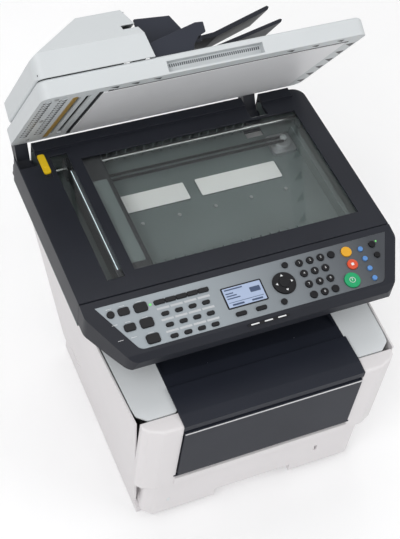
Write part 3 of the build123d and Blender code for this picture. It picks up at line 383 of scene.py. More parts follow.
def ring(name, x, y, outer, inner, low, high, placement, look, body, steps=40):
    """A flat ring with a softened crown."""
    shape = bmesh.new()
    rim = (high - low) * RING_RIM
    section = ((inner, low), (outer, low), (outer, high - rim), (outer - rim, high),
               (inner + rim, high), (inner, high - rim))
    loops = []
    for step in range(steps):
        angle = 2 * math.pi * step / steps
        loops.append([shape.verts.new((x + r * math.cos(angle), y + r * math.sin(angle), z))
                      for r, z in section])
    for index, loop in enumerate(loops):
        after = loops[(index + 1) % steps]
        for point in range(len(section)):
            follow = (point + 1) % len(section)
            shape.faces.new((loop[point], after[point], after[follow], loop[follow]))
    bmesh.ops.recalc_face_normals(shape, faces=shape.faces)
    return from_bmesh(name, shape, placement, look, body)


def turned(name, profile, start, direction, look, body, placement=UPRIGHT, steps=32):
    """A turned piece: radius at each distance from start along direction."""
    shape = bmesh.new()
    way = Vector(direction).normalized()
    side = way.orthogonal().normalized()
    other = way.cross(side)
    loops = []
    for distance, radius in profile:
        centre = Vector(start) + way * distance
        loops.append([shape.verts.new(centre + (side * math.cos(a) + other * math.sin(a)) * radius)
                      for a in (2 * math.pi * step / steps for step in range(steps))])
    shape.faces.new(list(reversed(loops[0])))
    shape.faces.new(loops[-1])
    for low, high in zip(loops, loops[1:]):
        for index in range(steps):
            after = (index + 1) % steps
            shape.faces.new((low[index], low[after], high[after], high[index]))
    bmesh.ops.recalc_face_normals(shape, faces=shape.faces)
    obj = from_bmesh(name, shape, placement, look, body)
    obj.data.polygons.foreach_set("use_smooth", [True] * len(obj.data.polygons))
    obj.data.set_sharp_from_angle(angle=SHARP_ANGLE)
    return obj


def characters(name, marks, size, placement, look, body, up):
    """Plain characters laid flat, each given as text, place across and place along."""
    shape = bmesh.new()
    graph = bpy.context.evaluated_depsgraph_get
    for text, x, y in marks:
        curve = bpy.data.curves.new(name, "FONT")
        curve.body = text
        curve.size = size
        curve.extrude = CHARACTER_DEPTH
        curve.align_x = "CENTER"
        curve.align_y = "CENTER"
        holder = bpy.data.objects.new(name + "_outline", curve)
        bpy.context.scene.collection.objects.link(holder)
        flat = bpy.data.meshes.new_from_object(holder.evaluated_get(graph()))
        flat.transform(Matrix.Translation((x, y, up)))
        shape.from_mesh(flat)
        bpy.data.objects.remove(holder)
        bpy.data.meshes.remove(flat)
        bpy.data.curves.remove(curve)
    return from_bmesh(name, shape, placement, look, body)


# Geometry node trees for what repeats

def link_grid(tree, start):
    """Points in rows: one line of points set out again along a second pitch."""
    row = tree.nodes.new("GeometryNodeMeshLine")
    rows = tree.nodes.new("GeometryNodeMeshLine")
    for line, count, pitch in ((row, "Count", "Pitch"), (rows, "Rows", "Row Pitch")):
        line.mode = "OFFSET"
        tree.links.new(start.outputs[count], line.inputs["Count"])
        tree.links.new(start.outputs[pitch], line.inputs["Offset"])
    tree.links.new(start.outputs["Start"], rows.inputs["Start Location"])
    copies = tree.nodes.new("GeometryNodeInstanceOnPoints")
    tree.links.new(rows.outputs["Mesh"], copies.inputs["Points"])
    tree.links.new(row.outputs["Mesh"], copies.inputs["Instance"])
    joined = tree.nodes.new("GeometryNodeRealizeInstances")
    tree.links.new(copies.outputs["Instances"], joined.inputs["Geometry"])
    return joined.outputs["Geometry"]


def repeat_tree(name, kind):
    """A tree that sets out small blocks or studs in even rows."""
    tree = bpy.data.node_groups.new(name, "GeometryNodeTree")
    for label, socket, value in (("Count", "NodeSocketInt", 4),
                                 ("Pitch", "NodeSocketVector", (0, 0.01, 0)),
                                 ("Rows", "NodeSocketInt", 1),
                                 ("Row Pitch", "NodeSocketVector", (0.01, 0, 0)),
                                 ("Start", "NodeSocketVector", (0, 0, 0)),
                                 ("Size", "NodeSocketVector", (0.001, 0.001, 0.001)),
                                 ("Turn", "NodeSocketVector", (0, 0, 0))):
        item = tree.interface.new_socket(label, in_out="INPUT", socket_type=socket)
        item.default_value = value
    tree.interface.new_socket("Material", in_out="INPUT", socket_type="NodeSocketMaterial")
    tree.interface.new_socket("Geometry", in_out="OUTPUT", socket_type="NodeSocketGeometry")
    start = tree.nodes.new("NodeGroupInput")
    end = tree.nodes.new("NodeGroupOutput")
    points = link_grid(tree, start)
    placed = tree.nodes.new("GeometryNodeInstanceOnPoints")
    if kind == "block":
        shape = tree.nodes.new("GeometryNodeMeshCube")
        tree.links.new(start.outputs["Size"], shape.inputs["Size"])
    else:
        shape = tree.nodes.new("GeometryNodeMeshCone")
        shape.inputs["Vertices"].default_value = STUD_SIDES
        parts = tree.nodes.new("ShaderNodeSeparateXYZ")
        tree.links.new(start.outputs["Size"], parts.inputs[0])
        tree.links.new(parts.outputs["X"], shape.inputs["Radius Bottom"])
        tree.links.new(parts.outputs["Y"], shape.inputs["Radius Top"])
        tree.links.new(parts.outputs["Z"], shape.inputs["Depth"])
    tree.links.new(points, placed.inputs["Points"])
    tree.links.new(shape.outputs["Mesh"], placed.inputs["Instance"])
    tree.links.new(start.outputs["Turn"], placed.inputs["Rotation"])
    real = tree.nodes.new("GeometryNodeRealizeInstances")
    tinted = tree.nodes.new("GeometryNodeSetMaterial")
    tree.links.new(placed.outputs["Instances"], real.inputs["Geometry"])
    tree.links.new(real.outputs["Geometry"], tinted.inputs["Geometry"])
    tree.links.new(start.outputs["Material"], tinted.inputs["Material"])
    tree.links.new(tinted.outputs["Geometry"], end.inputs["Geometry"])
    return tree


TREES = {}


def repeated(name, kind, size, start, pitch, count, look, body, placement=UPRIGHT, rows=1,
             row_pitch=(0, 0, 0), turn=(0, 0, 0)):
    """A row or a field of equal blocks or studs, set out by a tree and kept as a plain mesh."""
    tree = TREES[kind]
    holder = bpy.data.objects.new(name + "_rows", bpy.data.meshes.new(name + "_rows"))
    bpy.context.scene.collection.objects.link(holder)
    modifier = holder.modifiers.new("Rows", "NODES")
    modifier.node_group = tree
    values = {"Count": count, "Pitch": [MM * p for p in pitch], "Rows": rows,
              "Row Pitch": [MM * p for p in row_pitch], "Start": [MM * p for p in start],
              "Size": [MM * p for p in size], "Turn": [math.radians(a) for a in turn],
              "Material": LOOKS[look][0]}
    for item in tree.interface.items_tree:
        if item.in_out == "INPUT":
            modifier[item.identifier] = values[item.name]
    graph = bpy.context.evaluated_depsgraph_get()
    graph.update()
    mesh = bpy.data.meshes.new_from_object(holder.evaluated_get(graph))
    bpy.data.objects.remove(holder)
    grown = Matrix.Scale(MM, 4) @ placement @ Matrix.Scale(1 / MM, 4)
    mesh.transform(grown)
    mesh.name = name
    return keep_object(name, mesh, look, body)


# Settings

def colour_setting(name, default, description):
    return bpy.props.FloatVectorProperty(name=name, description=description, subtype="COLOR", size=3,
                                         min=0.0, max=1.0, default=default)


def length_setting(name, default, description):
    return bpy.props.FloatProperty(name=name, description=description, default=default, min=0.05,
                                   max=50.0)


class PrinterColours(bpy.types.PropertyGroup):
    housing: colour_setting("Housing", (0.80, 0.775, 0.785), "Warm white of the side covers and drawer")
    panels: colour_setting("Top panels", (0.76, 0.79, 0.81), "Cool light grey of the top panels")
    feeder: colour_setting("Feeder", (0.64, 0.67, 0.685), "Cool light grey of the cover and the feeder")
    deck: colour_setting("Deck", (0.017, 0.019, 0.027), "Charcoal of the deck and the panel housing")
    lip: colour_setting("Front lip", (0.018, 0.021, 0.032), "Blue black of the lip and both trays")
    plate_light: colour_setting("Plate, left", (0.33, 0.37, 0.40), "Light grey end of the key plate")
    plate_dark: colour_setting("Plate, right", (0.05, 0.056, 0.066), "Dark end of the key plate")
    bed: colour_setting("Scanner bed", (0.15, 0.18, 0.18), "Grey green of the bed below the glass")
    screen: colour_setting("Screen", (0.40, 0.49, 0.68), "Pale blue of the screen")


class PrinterSizes(bpy.types.PropertyGroup):
    strip_height: length_setting("Silver strip", 3.2, "Height of the strip on the manual tray, in mm")
    digit_size: length_setting("Digits", 5.2, "Height of the digits on the number keys, in mm")
    rib_pitch: length_setting("Rib pitch", 12.5, "Distance between the ribs below the cover, in mm")
    tooth_pitch: length_setting("Tooth pitch", 5.0, "Distance between the brass teeth, in mm")
    vent_pitch: length_setting("Vent pitch", 7.0, "Distance between the vent slats, in mm")


class PrinterStudio(bpy.types.PropertyGroup):
    key_power: bpy.props.FloatProperty(name="Key lamp", description="Power of the large soft lamp",
                                       default=62.0, min=0.0, subtype="POWER", unit="POWER")
    fill_power: bpy.props.FloatProperty(name="Fill lamps", description="Power of each softer lamp",
                                        default=26.0, min=0.0, subtype="POWER", unit="POWER")
    air_level: bpy.props.FloatProperty(name="Room level", description="Strength of the pale room light",
                                       default=0.55, min=0.0, max=2.0)
    lens: bpy.props.FloatProperty(name="Lens", description="Focal length on a sensor 24 mm high",
                                  default=55.76, min=10.0, unit="CAMERA")


# Looks with fixed colours: name, slot of the record, material, colour, roughness and options
PLAIN_LOOKS = (
    ("black", "black_plastic", "Black plastic", (0.018, 0.019, 0.022), 0.42, {"edge_highlight": 0.4}),
    ("tray charcoal", "black_plastic", "Tray charcoal", (0.028, 0.032, 0.046), 0.38,
     {"edge_highlight": 0.4, "specular": 0.35}),
    ("key black", "key_black", "Key black", (0.005, 0.005, 0.007), 0.36,
     {"depth": 0.02, "specular": 0.3}),
    ("key green", "key_green", "Key green", (0.0, 0.36, 0.13), 0.3, {"depth": 0.02, "coat": 0.3}),
    ("key red", "key_red", "Key red", (0.72, 0.075, 0.02), 0.3, {"depth": 0.02, "coat": 0.3}),
    ("key yellow", "key_yellow", "Key yellow", (0.80, 0.40, 0.01), 0.3, {"depth": 0.02, "coat": 0.3}),
    ("key blue", "key_blue", "Key blue", (0.10, 0.27, 0.62), 0.3, {"depth": 0.02, "coat": 0.3}),
    ("tab yellow", "tab_yellow", "Tab yellow", (0.86, 0.58, 0.012), 0.35, {"depth": 0.03}),
    ("paper white", "pad_white", "White plate", (0.86, 0.86, 0.85), 0.55, {"depth": 0.03}),
    ("pad white", "pad_white", "Pad film", (0.84, 0.84, 0.86), 0.38, {"depth": 0.04, "drift": 0.97}),
    ("steel", "steel", "Ground steel", (0.80, 0.81, 0.81), 0.26,
     {"grain": 2600.0, "depth": 0.1, "metallic": 1.0, "drift": 0.9}),
    ("silver", "steel", "Silver foil", (0.78, 0.78, 0.79), 0.28, {"metallic": 0.9, "depth": 0.03}),
    ("brass", "steel", "Brass", (0.52, 0.36, 0.12), 0.32, {"metallic": 0.8, "depth": 0.06}),
    ("zinc", "frame_steel", "Zinc sheet", (0.42, 0.43, 0.44), 0.4, {"metallic": 0.7, "grain": 500.0}),
    ("rubber", "roller_rubber", "Roller rubber", (0.03, 0.03, 0.032), 0.75, {"depth": 0.3}),
    ("drum", "drum_green", "Drum coating", (0.06, 0.26, 0.22), 0.18, {"metallic": 0.4, "depth": 0.02}),
    ("print white", "pad_white", "Print white", (0.82, 0.83, 0.84), 0.5, {"depth": 0.0, "edge_highlight": 0.0}),
    ("print grey", "pad_white", "Print grey", (0.55, 0.57, 0.59), 0.5, {"depth": 0.0, "edge_highlight": 0.0}),
    ("screen ink", "charcoal_plastic", "Screen ink", (0.05, 0.08, 0.16), 0.5, {"edge_highlight": 0.0}),
)


# Operators

class PRINTER_OT_finishes(bpy.types.Operator):
    """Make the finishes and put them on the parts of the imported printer"""
    bl_idname = "printer.finishes"
    bl_label = "Finishes"

    def execute(self, context):
        tint = context.scene.printer_colours
        GROUPS["Moulded grain"] = moulded_grain_group()
        GROUPS["Tone drift"] = tone_drift_group()
        GROUPS["Handling"] = handling_group()
        TREES["block"] = repeat_tree("Even rows of blocks", "block")
        TREES["stud"] = repeat_tree("Even rows of studs", "stud")
        for look, slot, name, colour, roughness, options in (
                ("housing white", "warm_white_plastic", "Housing white", tint.housing, 0.5,
                 {"drift": 0.97}),
                ("panel grey", "cool_white_plastic", "Panel grey", tint.panels, 0.45, {"drift": 0.96}),
                ("feeder grey", "cool_white_plastic", "Feeder grey", tint.feeder, 0.45, {"drift": 0.96}),
                ("charcoal", "charcoal_plastic", "Charcoal", tint.deck, 0.42,
                 {"depth": 0.12, "drift": 0.85, "edge_highlight": 0.4, "specular": 0.28}),
                ("lip black", "dark_panel", "Lip blue black", tint.lip, 0.44,
                 {"depth": 0.16, "grain": 1600.0, "drift": 0.88, "edge_highlight": 0.3, "specular": 0.26}),
                ("screen", "lcd_blue", "Screen", tint.screen, 0.22, {"depth": 0.0, "edge_highlight": 0.0}),
                ("bed", "bed_grey", "Bed grey", tint.bed, 0.5, {"grain": 700.0, "drift": 0.82}),
                *PLAIN_LOOKS):
            add_look(look, slot, finish(name, colour, roughness, **options))
        add_look("key plate", "plate_grey", plate_finish("Key plate", tint.plate_light, tint.plate_dark))
        add_look("glass", "clear_glass", glass_finish("Scanner glass", (0.93, 0.96, 0.95)))
        add_look("lamp", "lcd_blue", lit_finish("Lamp line", (0.80, 0.90, 0.98), 0.8))
        add_look("signal", "key_green", lit_finish("Signal green", (0.16, 0.62, 0.16), 0.35))
        for look, nodes in NODE_LOOKS.items():
            for node in nodes:
                mesh_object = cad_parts[node]
                mesh_object.data.materials.clear()
                mesh_object.data.materials.append(LOOKS[look][0])
        return {"FINISHED"}


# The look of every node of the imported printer
NODE_LOOKS = {
    "housing white": ("side_cover_left", "side_cover_right", "cassette", "rear_panel", "rear_door",
                      "base_frame", "front_cover"),
    "panel grey": ("top_panel_left", "top_panel_right"),
    "feeder grey": ("cover_shell", "cover_frame", "feeder_cover"),
    "charcoal": ("deck_frame", "control_housing", "hinge_base", "hinge_arms", "eject_tray",
                 "upper_flap", "lower_flap"),
    "lip black": ("front_lip", "mp_tray", "output_tray"),
    "key plate": ("control_plate",),
    "tray charcoal": ("document_tray", "width_guide_front", "width_guide_rear"),
    "black": ("feed_unit", "scan_carriage", "drum_case", "toner_container", "laser_unit", "fuser_unit",
              "main_motor", "rear_sockets", "end_guide"),
    "bed": ("scanner_pan",),
    "key black": ("mode_keys", "soft_keys", "power_keys", "touch_keys", "number_keys", "nav_ring",
                  "ok_key"),
    "key green": ("start_key",),
    "key red": ("stop_key",),
    "key yellow": ("reset_key",),
    "key blue": ("quick_keys",),
    "tab yellow": ("lock_tab",),
    "screen": ("lcd_window",),
    "glass": ("scan_glasses",),
    "pad white": ("cover_pad",),
    "steel": ("carriage_rod", "lift_plate", "exit_roller"),
    "zinc": ("engine_frame", "scan_motor", "drive_gear"),
    "rubber": ("pickup_roller", "feed_roller"),
    "drum": ("drum_roller",),
}

# Places on the control panel, in millimetres across it and down from its seam with the deck
DIGIT_X, DIGIT_DOWN = 82.4, 25.7
DIGIT_PITCH, DIGIT_ROW_PITCH = 17.4, 17.9
ZERO_X, ZERO_DOWN = 99.8, 79.4
NUMBER_KEYS = [(str(3 * row + column + 1), DIGIT_X + DIGIT_PITCH * column,
                -(DIGIT_DOWN + DIGIT_ROW_PITCH * row)) for row in range(3) for column in range(3)]
NUMBER_KEYS.append(("0", ZERO_X, -ZERO_DOWN))
STRIP_X, STRIP_PITCH, STRIP_LENGTH, STRIP_HALF = -143.6, 20.5, 18.4, 1.7
STRIP_DOWNS = (37.4, 55.2, 74.0)
TICK_PLACES = [(x, down) for x in (-208.2, -189.1, -164.2) for down in (18.5, 44.0, 68.5)]
TICK_HALF_LENGTH, TICK_HALF_HEIGHT = 4.0, 0.35
RING_X, RING_Y = 47.6, -50.0
START_X, START_Y = 147.2, -74.0
ARROW = ((-2.2, 10.4), (2.2, 10.4), (0.0, 13.8))
SCREEN_LINES = ((-42.0, -14.0, -38.6, -36.6, 0.0), (-42.0, -30.0, -44.4, -42.6, 0.0),
                (-42.0, -26.0, -48.4, -46.6, 0.0), (-42.0, -22.0, -52.4, -50.6, 0.0),
                (-5.0, 11.0, -50.0, -42.0, 1.0), (-42.0, 12.0, -58.4, -57.6, 0.0),
                (-38.0, -20.0, -63.4, -60.6, 0.8), (-8.0, 9.0, -63.4, -60.6, 0.8))
INDICATOR_X = (-25.0, -4.0, 17.0)


class PRINTER_OT_panel(bpy.types.Operator):
    """Add the print, the screen content and the lights of the control panel"""
    bl_idname = "printer.panel"
    bl_label = "Control panel trims"

    def execute(self, context):
        sizes = context.scene.printer_sizes
        body = "printer_body"
        characters("number_print", NUMBER_KEYS, sizes.digit_size, ON_PANEL, "print white",
                   "number_keys_body", KEY_TOP + PRINT_GAP)
        strips = []
        for down in STRIP_DOWNS:
            for column in range(4):
                x = STRIP_X + STRIP_PITCH * column
                strips.append(rounded(x, x + STRIP_LENGTH, -down - STRIP_HALF, -down + STRIP_HALF, 0.5))
        slab("label_strips", strips, PRINT_GAP, 0.14, ON_PANEL, "print grey", body, soften=0.0)
        ticks = [rounded(x - TICK_HALF_LENGTH, x + TICK_HALF_LENGTH, -down - TICK_HALF_HEIGHT,
                         -down + TICK_HALF_HEIGHT) for x, down in TICK_PLACES]
        slab("panel_ticks", ticks, PRINT_GAP, 0.12, ON_PANEL, "print white", body, soften=0.0)
        slab("screen_bezel_outer", [rounded(-46.6, 16.6, -67.4, -32.6, 2.4)], PRINT_GAP, 0.5, ON_PANEL,
             "key black", body)
        slab("screen_glow", [rounded(-44.4, 14.4, -65.4, -34.6, 1.0)], 0.5, 0.62, ON_PANEL, "screen",
             body, soften=0.05)
        slab("screen_lines", [rounded(*line) for line in SCREEN_LINES], 0.63, 0.68, ON_PANEL,
             "screen ink", body, soften=0.0)
        arrows = []
        for turn in range(4):
            angle = math.radians(90 * turn)
            arrows.append([(RING_X + x * math.cos(angle) - y * math.sin(angle),
                            RING_Y + x * math.sin(angle) + y * math.cos(angle)) for x, y in ARROW])
        slab("ring_arrows", arrows, RING_TOP + 0.01, RING_TOP + 0.1, ON_PANEL, "print white",
             "nav_ring_body", soften=0.0)
        ring("ring_groove", RING_X, RING_Y, 17.9, 17.2, PRINT_GAP, 0.4, ON_PANEL, "black", body)
        slab("copy_light", [rounded(-152.0, -148.0, -29.5, -26.0, 1.4)], PRINT_GAP, 0.7, ON_PANEL,
             "signal", body)
        slab("ready_light", [rounded(209.5, 212.2, -24.6, -21.8, 1.2)], PRINT_GAP, 0.7, ON_PANEL,
             "signal", body)
        slab("indicator_bar", [rounded(-29.0, 35.0, -100.0, -96.4, 1.6)], -0.4, 0.25, ON_PANEL,
             "key black", body)
        slab("indicator_lights", [rounded(x, x + 13.0, -99.2, -97.2, 0.9) for x in INDICATOR_X], 0.25,
             0.45, ON_PANEL, "print white", body, soften=0.05)
        ring("start_mark", START_X, START_Y, 4.6, 3.8, KEY_TOP + 0.01, KEY_TOP + 0.14, ON_PANEL,
             "print white", "start_key_body")
        slab("start_bar", [rounded(START_X - 0.5, START_X + 0.5, START_Y - 1.0, START_Y + 3.6, 0.4)],
             KEY_TOP + 0.01, KEY_TOP + 0.16, ON_PANEL, "print white", "start_key_body", soften=0.0)
        slab("stop_mark", [rounded(156.6, 161.0, -52.2, -47.8, 0.6)], KEY_TOP + 0.01, KEY_TOP + 0.14,
             ON_PANEL, "print white", "stop_key_body", soften=0.0)
        return {"FINISHED"}


MOTOR_X, MOTOR_Y = 183.0, 231.0
BELT_LEFT, BELT_LOW, BELT_HIGH = -150.0, 343.0, 348.5


class PRINTER_OT_scanner(bpy.types.Operator):
    """Add the lamp line, the plates, the belt and the screws under the glass, and the ridged lock"""
    bl_idname = "printer.scanner"
    bl_label = "Scanner bed"

    def execute(self, context):
        body = "printer_body"
        slab("lamp_line", [rounded(-169.0, -166.8, 48.0, 250.0, 1.0)], 358.0, 361.0, UPRIGHT, "lamp",
             "carriage")
        slab("carriage_mirror", [rounded(-158.0, -124.0, 52.0, 214.0, 1.0)], CARRIAGE_TOP + PRINT_GAP,
             CARRIAGE_TOP + 0.6, UPRIGHT, "bed", "carriage")
        slab("bed_plates", [rounded(left, right, 168.4, 202.6, 2.0)
                            for left, right in ((-110.6, -1.4), (18.4, 155.6))],
             BED_FLOOR + PRINT_GAP, BED_FLOOR + 0.5, UPRIGHT, "paper white", body)
        slab("drive_belt", [rounded(BELT_LEFT, MOTOR_X, run, run + 1.2) for run in (235.2, 225.6)],
             BELT_LOW, BELT_HIGH, UPRIGHT, "rubber", body, soften=0.0)
        turned("motor_pulley", [(0.0, 5.6), (1.0, 5.6), (1.2, 4.6), (6.4, 4.6), (6.6, 5.6), (7.6, 5.6)],
               (MOTOR_X, MOTOR_Y, 341.6), (0, 0, 1), "steel", body)
        turned("motor_crown", [(0.0, 14.2), (0.6, 14.2), (1.2, 13.4)], (MOTOR_X, MOTOR_Y, 340.9),
               (0, 0, 1), "zinc", body)
        repeated("bed_screws", "stud", (3.2, 2.6, 1.4), (-90.0, 60.0, 329.4), (60.0, 0, 0), 5, "zinc",
                 body, rows=2, row_pitch=(0, 84.0, 0))
        repeated("tab_ridges", "block", (7.0, 1.0, 0.8), (-206.0, 258.0, 377.3), (0, 2.6, 0), 8,
                 "tab yellow", "lock")
        return {"FINISHED"}


# Places below the cover, in millimetres across it and back from its front
CHANNEL_FRONT, CHANNEL_REAR = 25.0, 250.0
TEETH_RUN, RIB_RUN = 220.0, 204.0
RIB_FRONT, POCKET_FRONT = 23.4, 29.65
RIB_ROWS = (("outer", -232.5), ("inner", -210.5))
# Painted shadows: dark triangles under the small gussets along the front and the right rim of the cover
# underside.
FRONT_GUSSET_SHADOWS = (-141.0, -112.0, -80.0, 121.0, 160.0, 200.0)
GUSSET_SHADOW_Y, GUSSET_SHADOW_REACH = 11.0, 6.0
SIDE_GUSSET_SHADOWS = (44.0, 82.0, 120.0, 158.0, 196.0, 234.0)
SIDE_SHADOW_LEFT, SIDE_SHADOW_RIGHT, SIDE_SHADOW_LENGTH = 224.0, 238.0, 17.0
LONG_SLOTS = ((-160.0, -154.0), (-146.6, -139.6))


class PRINTER_OT_cover(bpy.types.Operator):
    """Add the brass strip, the slots, the painted shade between the ribs, the painted shadows under the
    corner gussets, the ribs and the grip lines of the raised cover
    """
    bl_idname = "printer.cover"
    bl_label = "Cover underside"

    def execute(self, context):
        sizes = context.scene.printer_sizes
        body = "scanner_cover"
        under = COVER_UNDERSIDE
        slab("brass_strip", [rounded(-197.0, -190.2, CHANNEL_FRONT, CHANNEL_REAR)], under - 0.7,
             under - PRINT_GAP, ON_COVER, "brass", body, soften=0.0)
        teeth = int(TEETH_RUN / sizes.tooth_pitch)
        repeated("brass_teeth", "block", (5.6, 1.6, 0.8), (-193.6, 28.0, under - 0.9),
                 (0, sizes.tooth_pitch, 0), teeth, "brass", body, ON_COVER)
        ribs = int(RIB_RUN / sizes.rib_pitch) + 1
        pitch = (0, sizes.rib_pitch, 0)
        for name, x in RIB_ROWS:
            # Painted shade: a thin black sheet in each pocket between the ribs, where the grey underside
            # lies in shade.
            repeated(name + "_pockets", "block", (11.4, sizes.rib_pitch, 0.2),
                     (x, POCKET_FRONT, under - 0.12), pitch, ribs - 1, "black", body, ON_COVER)
            repeated(name + "_ribs", "block", (11.6, 1.8, 0.36), (x, RIB_FRONT, under - 0.2), pitch,
                     ribs, "panel grey", body, ON_COVER)
            repeated(name + "_webs", "block", (3.0, 13.6, 0.32), (x - 1.0, POCKET_FRONT, under - 0.2),
                     pitch, ribs - 1, "panel grey", body, ON_COVER, turn=(0, 0, 36))
        # Painted shadows under the gussets, laid as thin black triangles.
        y, reach = GUSSET_SHADOW_Y, GUSSET_SHADOW_REACH
        shadow_triangles = [[(x - reach, y), (x + reach, y), (x + reach, y + 1.6 * reach)]
                   for x in FRONT_GUSSET_SHADOWS]
        shadow_triangles += [[(SIDE_SHADOW_LEFT, y), (SIDE_SHADOW_RIGHT, y),
                     (SIDE_SHADOW_RIGHT, y + SIDE_SHADOW_LENGTH)] for y in SIDE_GUSSET_SHADOWS]
        slab("corner_pockets", shadow_triangles, under - 0.3, under - 0.03, ON_COVER, "black", body, soften=0.0)
        slab("long_slots", [rounded(left, right, 24.0, CHANNEL_REAR, 1.0) for left, right in LONG_SLOTS],
             under - 0.3, under - 0.03, ON_COVER, "black", body, soften=0.0)
        slab("pad_shadow_gap", [rounded(-146.0, 221.0, 26.4, 31.6)], under - 0.28, under - 0.05,
             ON_COVER, "black", body, soften=0.0)
        repeated("grip_lines", "block", (1.3, 0.6, 4.2), (-61.0, 13.8, 391.6), (3.1, 0, 0), 45,
                 "tray charcoal", body, ON_COVER)
        slab("rear_slot", [rounded(-158.0, -149.0, 246.0, 262.0, 1.0)], under - 0.4, under - PRINT_GAP,
             ON_COVER, "black", body)
        repeated("cover_screws", "stud", (3.4, 2.8, 1.0), (-222.0, 16.0, under - 0.4), (0, 115.0, 0), 3,
                 "zinc", body, ON_COVER, turn=(180, 0, 0))
        return {"FINISHED"}


FEED_SLEEVE = ((0, 11.0), (0.4, 11.5), (23.6, 11.5), (24.0, 11.0))


class PRINTER_OT_feeder(bpy.types.Operator):
    """Add the lid's grip, the roller sleeves and the ridges of the document feeder"""
    bl_idname = "printer.feeder"
    bl_label = "Document feeder trims"

    def execute(self, context):
        slab("lid_grip", [rounded(-116.0, -84.0, 60.0, 150.0, 4.0)], 489.0, 489.9, ON_COVER,
             "feeder grey", "feeder_lid", soften=0.5)
        for name, y in (("feed_sleeve_front", 80.0), ("feed_sleeve_rear", 120.0)):
            turned(name, FEED_SLEEVE, (-159.0, y, 427.0), (0, 1, 0), "rubber", "feed_roll", ON_COVER)
        repeated("eject_ridges", "block", (58.0, 1.2, 0.8), (-40.0, 40.0, 408.2), (0, 22.0, 0), 9,
                 "charcoal", "scanner_cover", ON_COVER)
        return {"FINISHED"}


TRAY_TOP = 247.0
STRIP_HALF_WIDTH = 142.0
VENT_RUN = 84.0
EXIT_SLEEVE = ((0, 6.0), (0.4, 6.4), (17.6, 6.4), (18.0, 6.0))
EXIT_SLEEVES = (-84.0, -28.0, 28.0, 84.0)


class PRINTER_OT_housing(bpy.types.Operator):
    """Add the bright strip, the marks, the vents and the feet of the housing"""
    bl_idname = "printer.housing"
    bl_label = "Housing trims"

    def execute(self, context):
        sizes = context.scene.printer_sizes
        body = "printer_body"
        slab("silver_strip", [rounded(-STRIP_HALF_WIDTH, STRIP_HALF_WIDTH, TRAY_TOP - sizes.strip_height,
                                      TRAY_TOP - 0.2, 0.6)],
             170.9, 171.6, TO_FRONT, "silver", "manual_tray")
        slab("drawer_mark", [rounded(-148.0, -143.5, 44.0, 53.0, 1.0)], 163.9, 164.3, TO_FRONT,
             "panel grey", "paper_cassette")
        repeated("tray_stop_marks", "block", (0.8, 12.0, 0.5), (-70.0, -84.0, 261.6), (140.0, 0, 0), 2,
                 "silver", body)
        repeated("left_vents", "block", (1.2, 44.0, 2.2), (-194.5, 120.0, 60.0),
                 (0, 0, sizes.vent_pitch), int(VENT_RUN / sizes.vent_pitch), "housing white", body,
                 turn=(0, -6.0, 0))
        for name, x in (("left_feet", -160.0), ("right_feet", 160.0)):
            repeated(name, "stud", (9.0, 11.0, 1.8), (x, -120.0, 0.95), (0, 270.0, 0), 2, "rubber", body)
        return {"FINISHED"}


class PRINTER_OT_back(bpy.types.Operator):
    """Add the socket faces and the ribs of the rear door"""
    bl_idname = "printer.back"
    bl_label = "Back trims"

    def execute(self, context):
        for name, low in (("network_socket", 130.0), ("data_socket", 152.0), ("service_socket", 174.0)):
            slab(name, [rounded(162.0, 178.0, low + 2.0, low + 11.0, 1.0)], 217.2, 217.9, TO_BACK,
                 "steel", "printer_body")
        repeated("door_ribs", "block", (220.0, 1.0, 1.2), (0.0, 214.0, 96.0), (0, 4.14, 12.0), 8,
                 "housing white", "rear_flap", turn=(-19.0, 0, 0))
        return {"FINISHED"}


class PRINTER_OT_inside(bpy.types.Operator):
    """Add the sleeves of the exit roller and the hub of the gear"""
    bl_idname = "printer.inside"
    bl_label = "Inner rollers"

    def execute(self, context):
        for index, x in enumerate(EXIT_SLEEVES):
            turned("exit_sleeve_%d" % (index + 1), EXIT_SLEEVE, (x - 9.0, 158.0, 250.0), (1, 0, 0),
                   "rubber", "exit_roll")
        turned("gear_hub", [(0, 8.0), (0.6, 9.0), (1.4, 9.0), (2.0, 7.0)], (191.5, 66.0, 148.0),
               (1, 0, 0), "black", "gear")
        return {"FINISHED"}


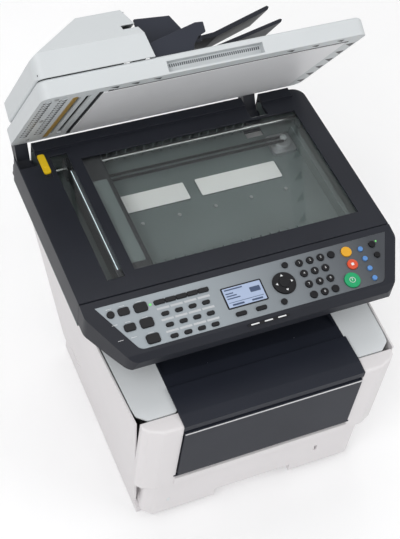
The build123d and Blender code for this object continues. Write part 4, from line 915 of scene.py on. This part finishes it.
class PRINTER_OT_stage(bpy.types.Operator):
    """Set out the pale floor, the soft lamps and the camera"""
    bl_idname = "printer.stage"
    bl_label = "Stage"

    def execute(self, context):
        studio = context.scene.printer_studio
        scene = context.scene
        shape = bmesh.new()
        bmesh.ops.create_grid(shape, x_segments=1, y_segments=1, size=FLOOR_SIZE)
        mesh = bpy.data.meshes.new("floor")
        shape.to_mesh(mesh)
        shape.free()
        floor = bpy.data.objects.new("floor", mesh)
        scene.collection.objects.link(floor)
        mesh.materials.append(floor_finish(FLOOR_TONE, FLOOR_LIFT))
        mesh.transform(Matrix.Translation((0, 0, -FLOOR_DROP)))
        for name, place, power, size in LAMPS:
            lamp = bpy.data.lights.new(name, "AREA")
            lamp.energy = getattr(studio, power)
            lamp.size = size
            holder = bpy.data.objects.new(name, lamp)
            scene.collection.objects.link(holder)
            aim = (LAMP_TARGET - Vector(place)).to_track_quat("-Z", "Y")
            holder.matrix_world = Matrix.Translation(place) @ aim.to_matrix().to_4x4()
        room = bpy.data.worlds.new("room")
        scene.world = room
        room.use_nodes = True
        tree = room.node_tree
        shade = tree.nodes["Background"]
        shade.inputs["Color"].default_value = (1.0, 1.0, 1.0, 1.0)
        path = tree.nodes.new("ShaderNodeLightPath")
        level = tree.nodes.new("ShaderNodeMapRange")
        level.inputs["To Min"].default_value = studio.air_level
        level.inputs["To Max"].default_value = 1.0
        tree.links.new(path.outputs["Is Camera Ray"], level.inputs["Value"])
        tree.links.new(level.outputs["Result"], shade.inputs["Strength"])
        eye = bpy.data.cameras.new("camera")
        eye.sensor_fit = "VERTICAL"
        eye.sensor_height = SENSOR_HEIGHT
        eye.lens = studio.lens
        holder = bpy.data.objects.new("camera", eye)
        scene.collection.objects.link(holder)
        turn = Euler([math.radians(angle) for angle in CAMERA_TURN], "XYZ")
        holder.matrix_world = Matrix.Translation(CAMERA_PLACE) @ turn.to_matrix().to_4x4()
        scene.camera = holder
        scene.view_settings.view_transform = "Standard"
        return {"FINISHED"}


class PRINTER_PT_pieces(bpy.types.Panel):
    bl_idname = "PRINTER_PT_pieces"
    bl_label = "Printer"
    bl_space_type = "VIEW_3D"
    bl_region_type = "UI"
    bl_category = "Printer"

    def draw(self, context):
        for holder in SETTINGS:
            group = getattr(context.scene, holder)
            for name in group.__annotations__:
                self.layout.prop(group, name)
        for operator in PIECES:
            self.layout.operator(operator.bl_idname)


PIECES = (PRINTER_OT_finishes, PRINTER_OT_panel, PRINTER_OT_scanner, PRINTER_OT_cover,
          PRINTER_OT_feeder, PRINTER_OT_housing, PRINTER_OT_back, PRINTER_OT_inside, PRINTER_OT_stage)
SETTINGS = {"printer_colours": PrinterColours, "printer_sizes": PrinterSizes,
            "printer_studio": PrinterStudio}


def register():
    for group in SETTINGS.values():
        bpy.utils.register_class(group)
    for operator in PIECES:
        bpy.utils.register_class(operator)
    bpy.utils.register_class(PRINTER_PT_pieces)
    for name, group in SETTINGS.items():
        setattr(bpy.types.Scene, name, bpy.props.PointerProperty(type=group))


def unregister():
    for name in SETTINGS:
        delattr(bpy.types.Scene, name)
    bpy.utils.unregister_class(PRINTER_PT_pieces)
    for operator in reversed(PIECES):
        bpy.utils.unregister_class(operator)
    for group in SETTINGS.values():
        bpy.utils.unregister_class(group)


def main():
    register()
    bpy.ops.printer.finishes()
    bpy.ops.printer.panel()
    bpy.ops.printer.scanner()
    bpy.ops.printer.cover()
    bpy.ops.printer.feeder()
    bpy.ops.printer.housing()
    bpy.ops.printer.back()
    bpy.ops.printer.inside()
    bpy.ops.printer.stage()
    bpy.context.view_layer.update()


if __name__ == "__main__":
    main()
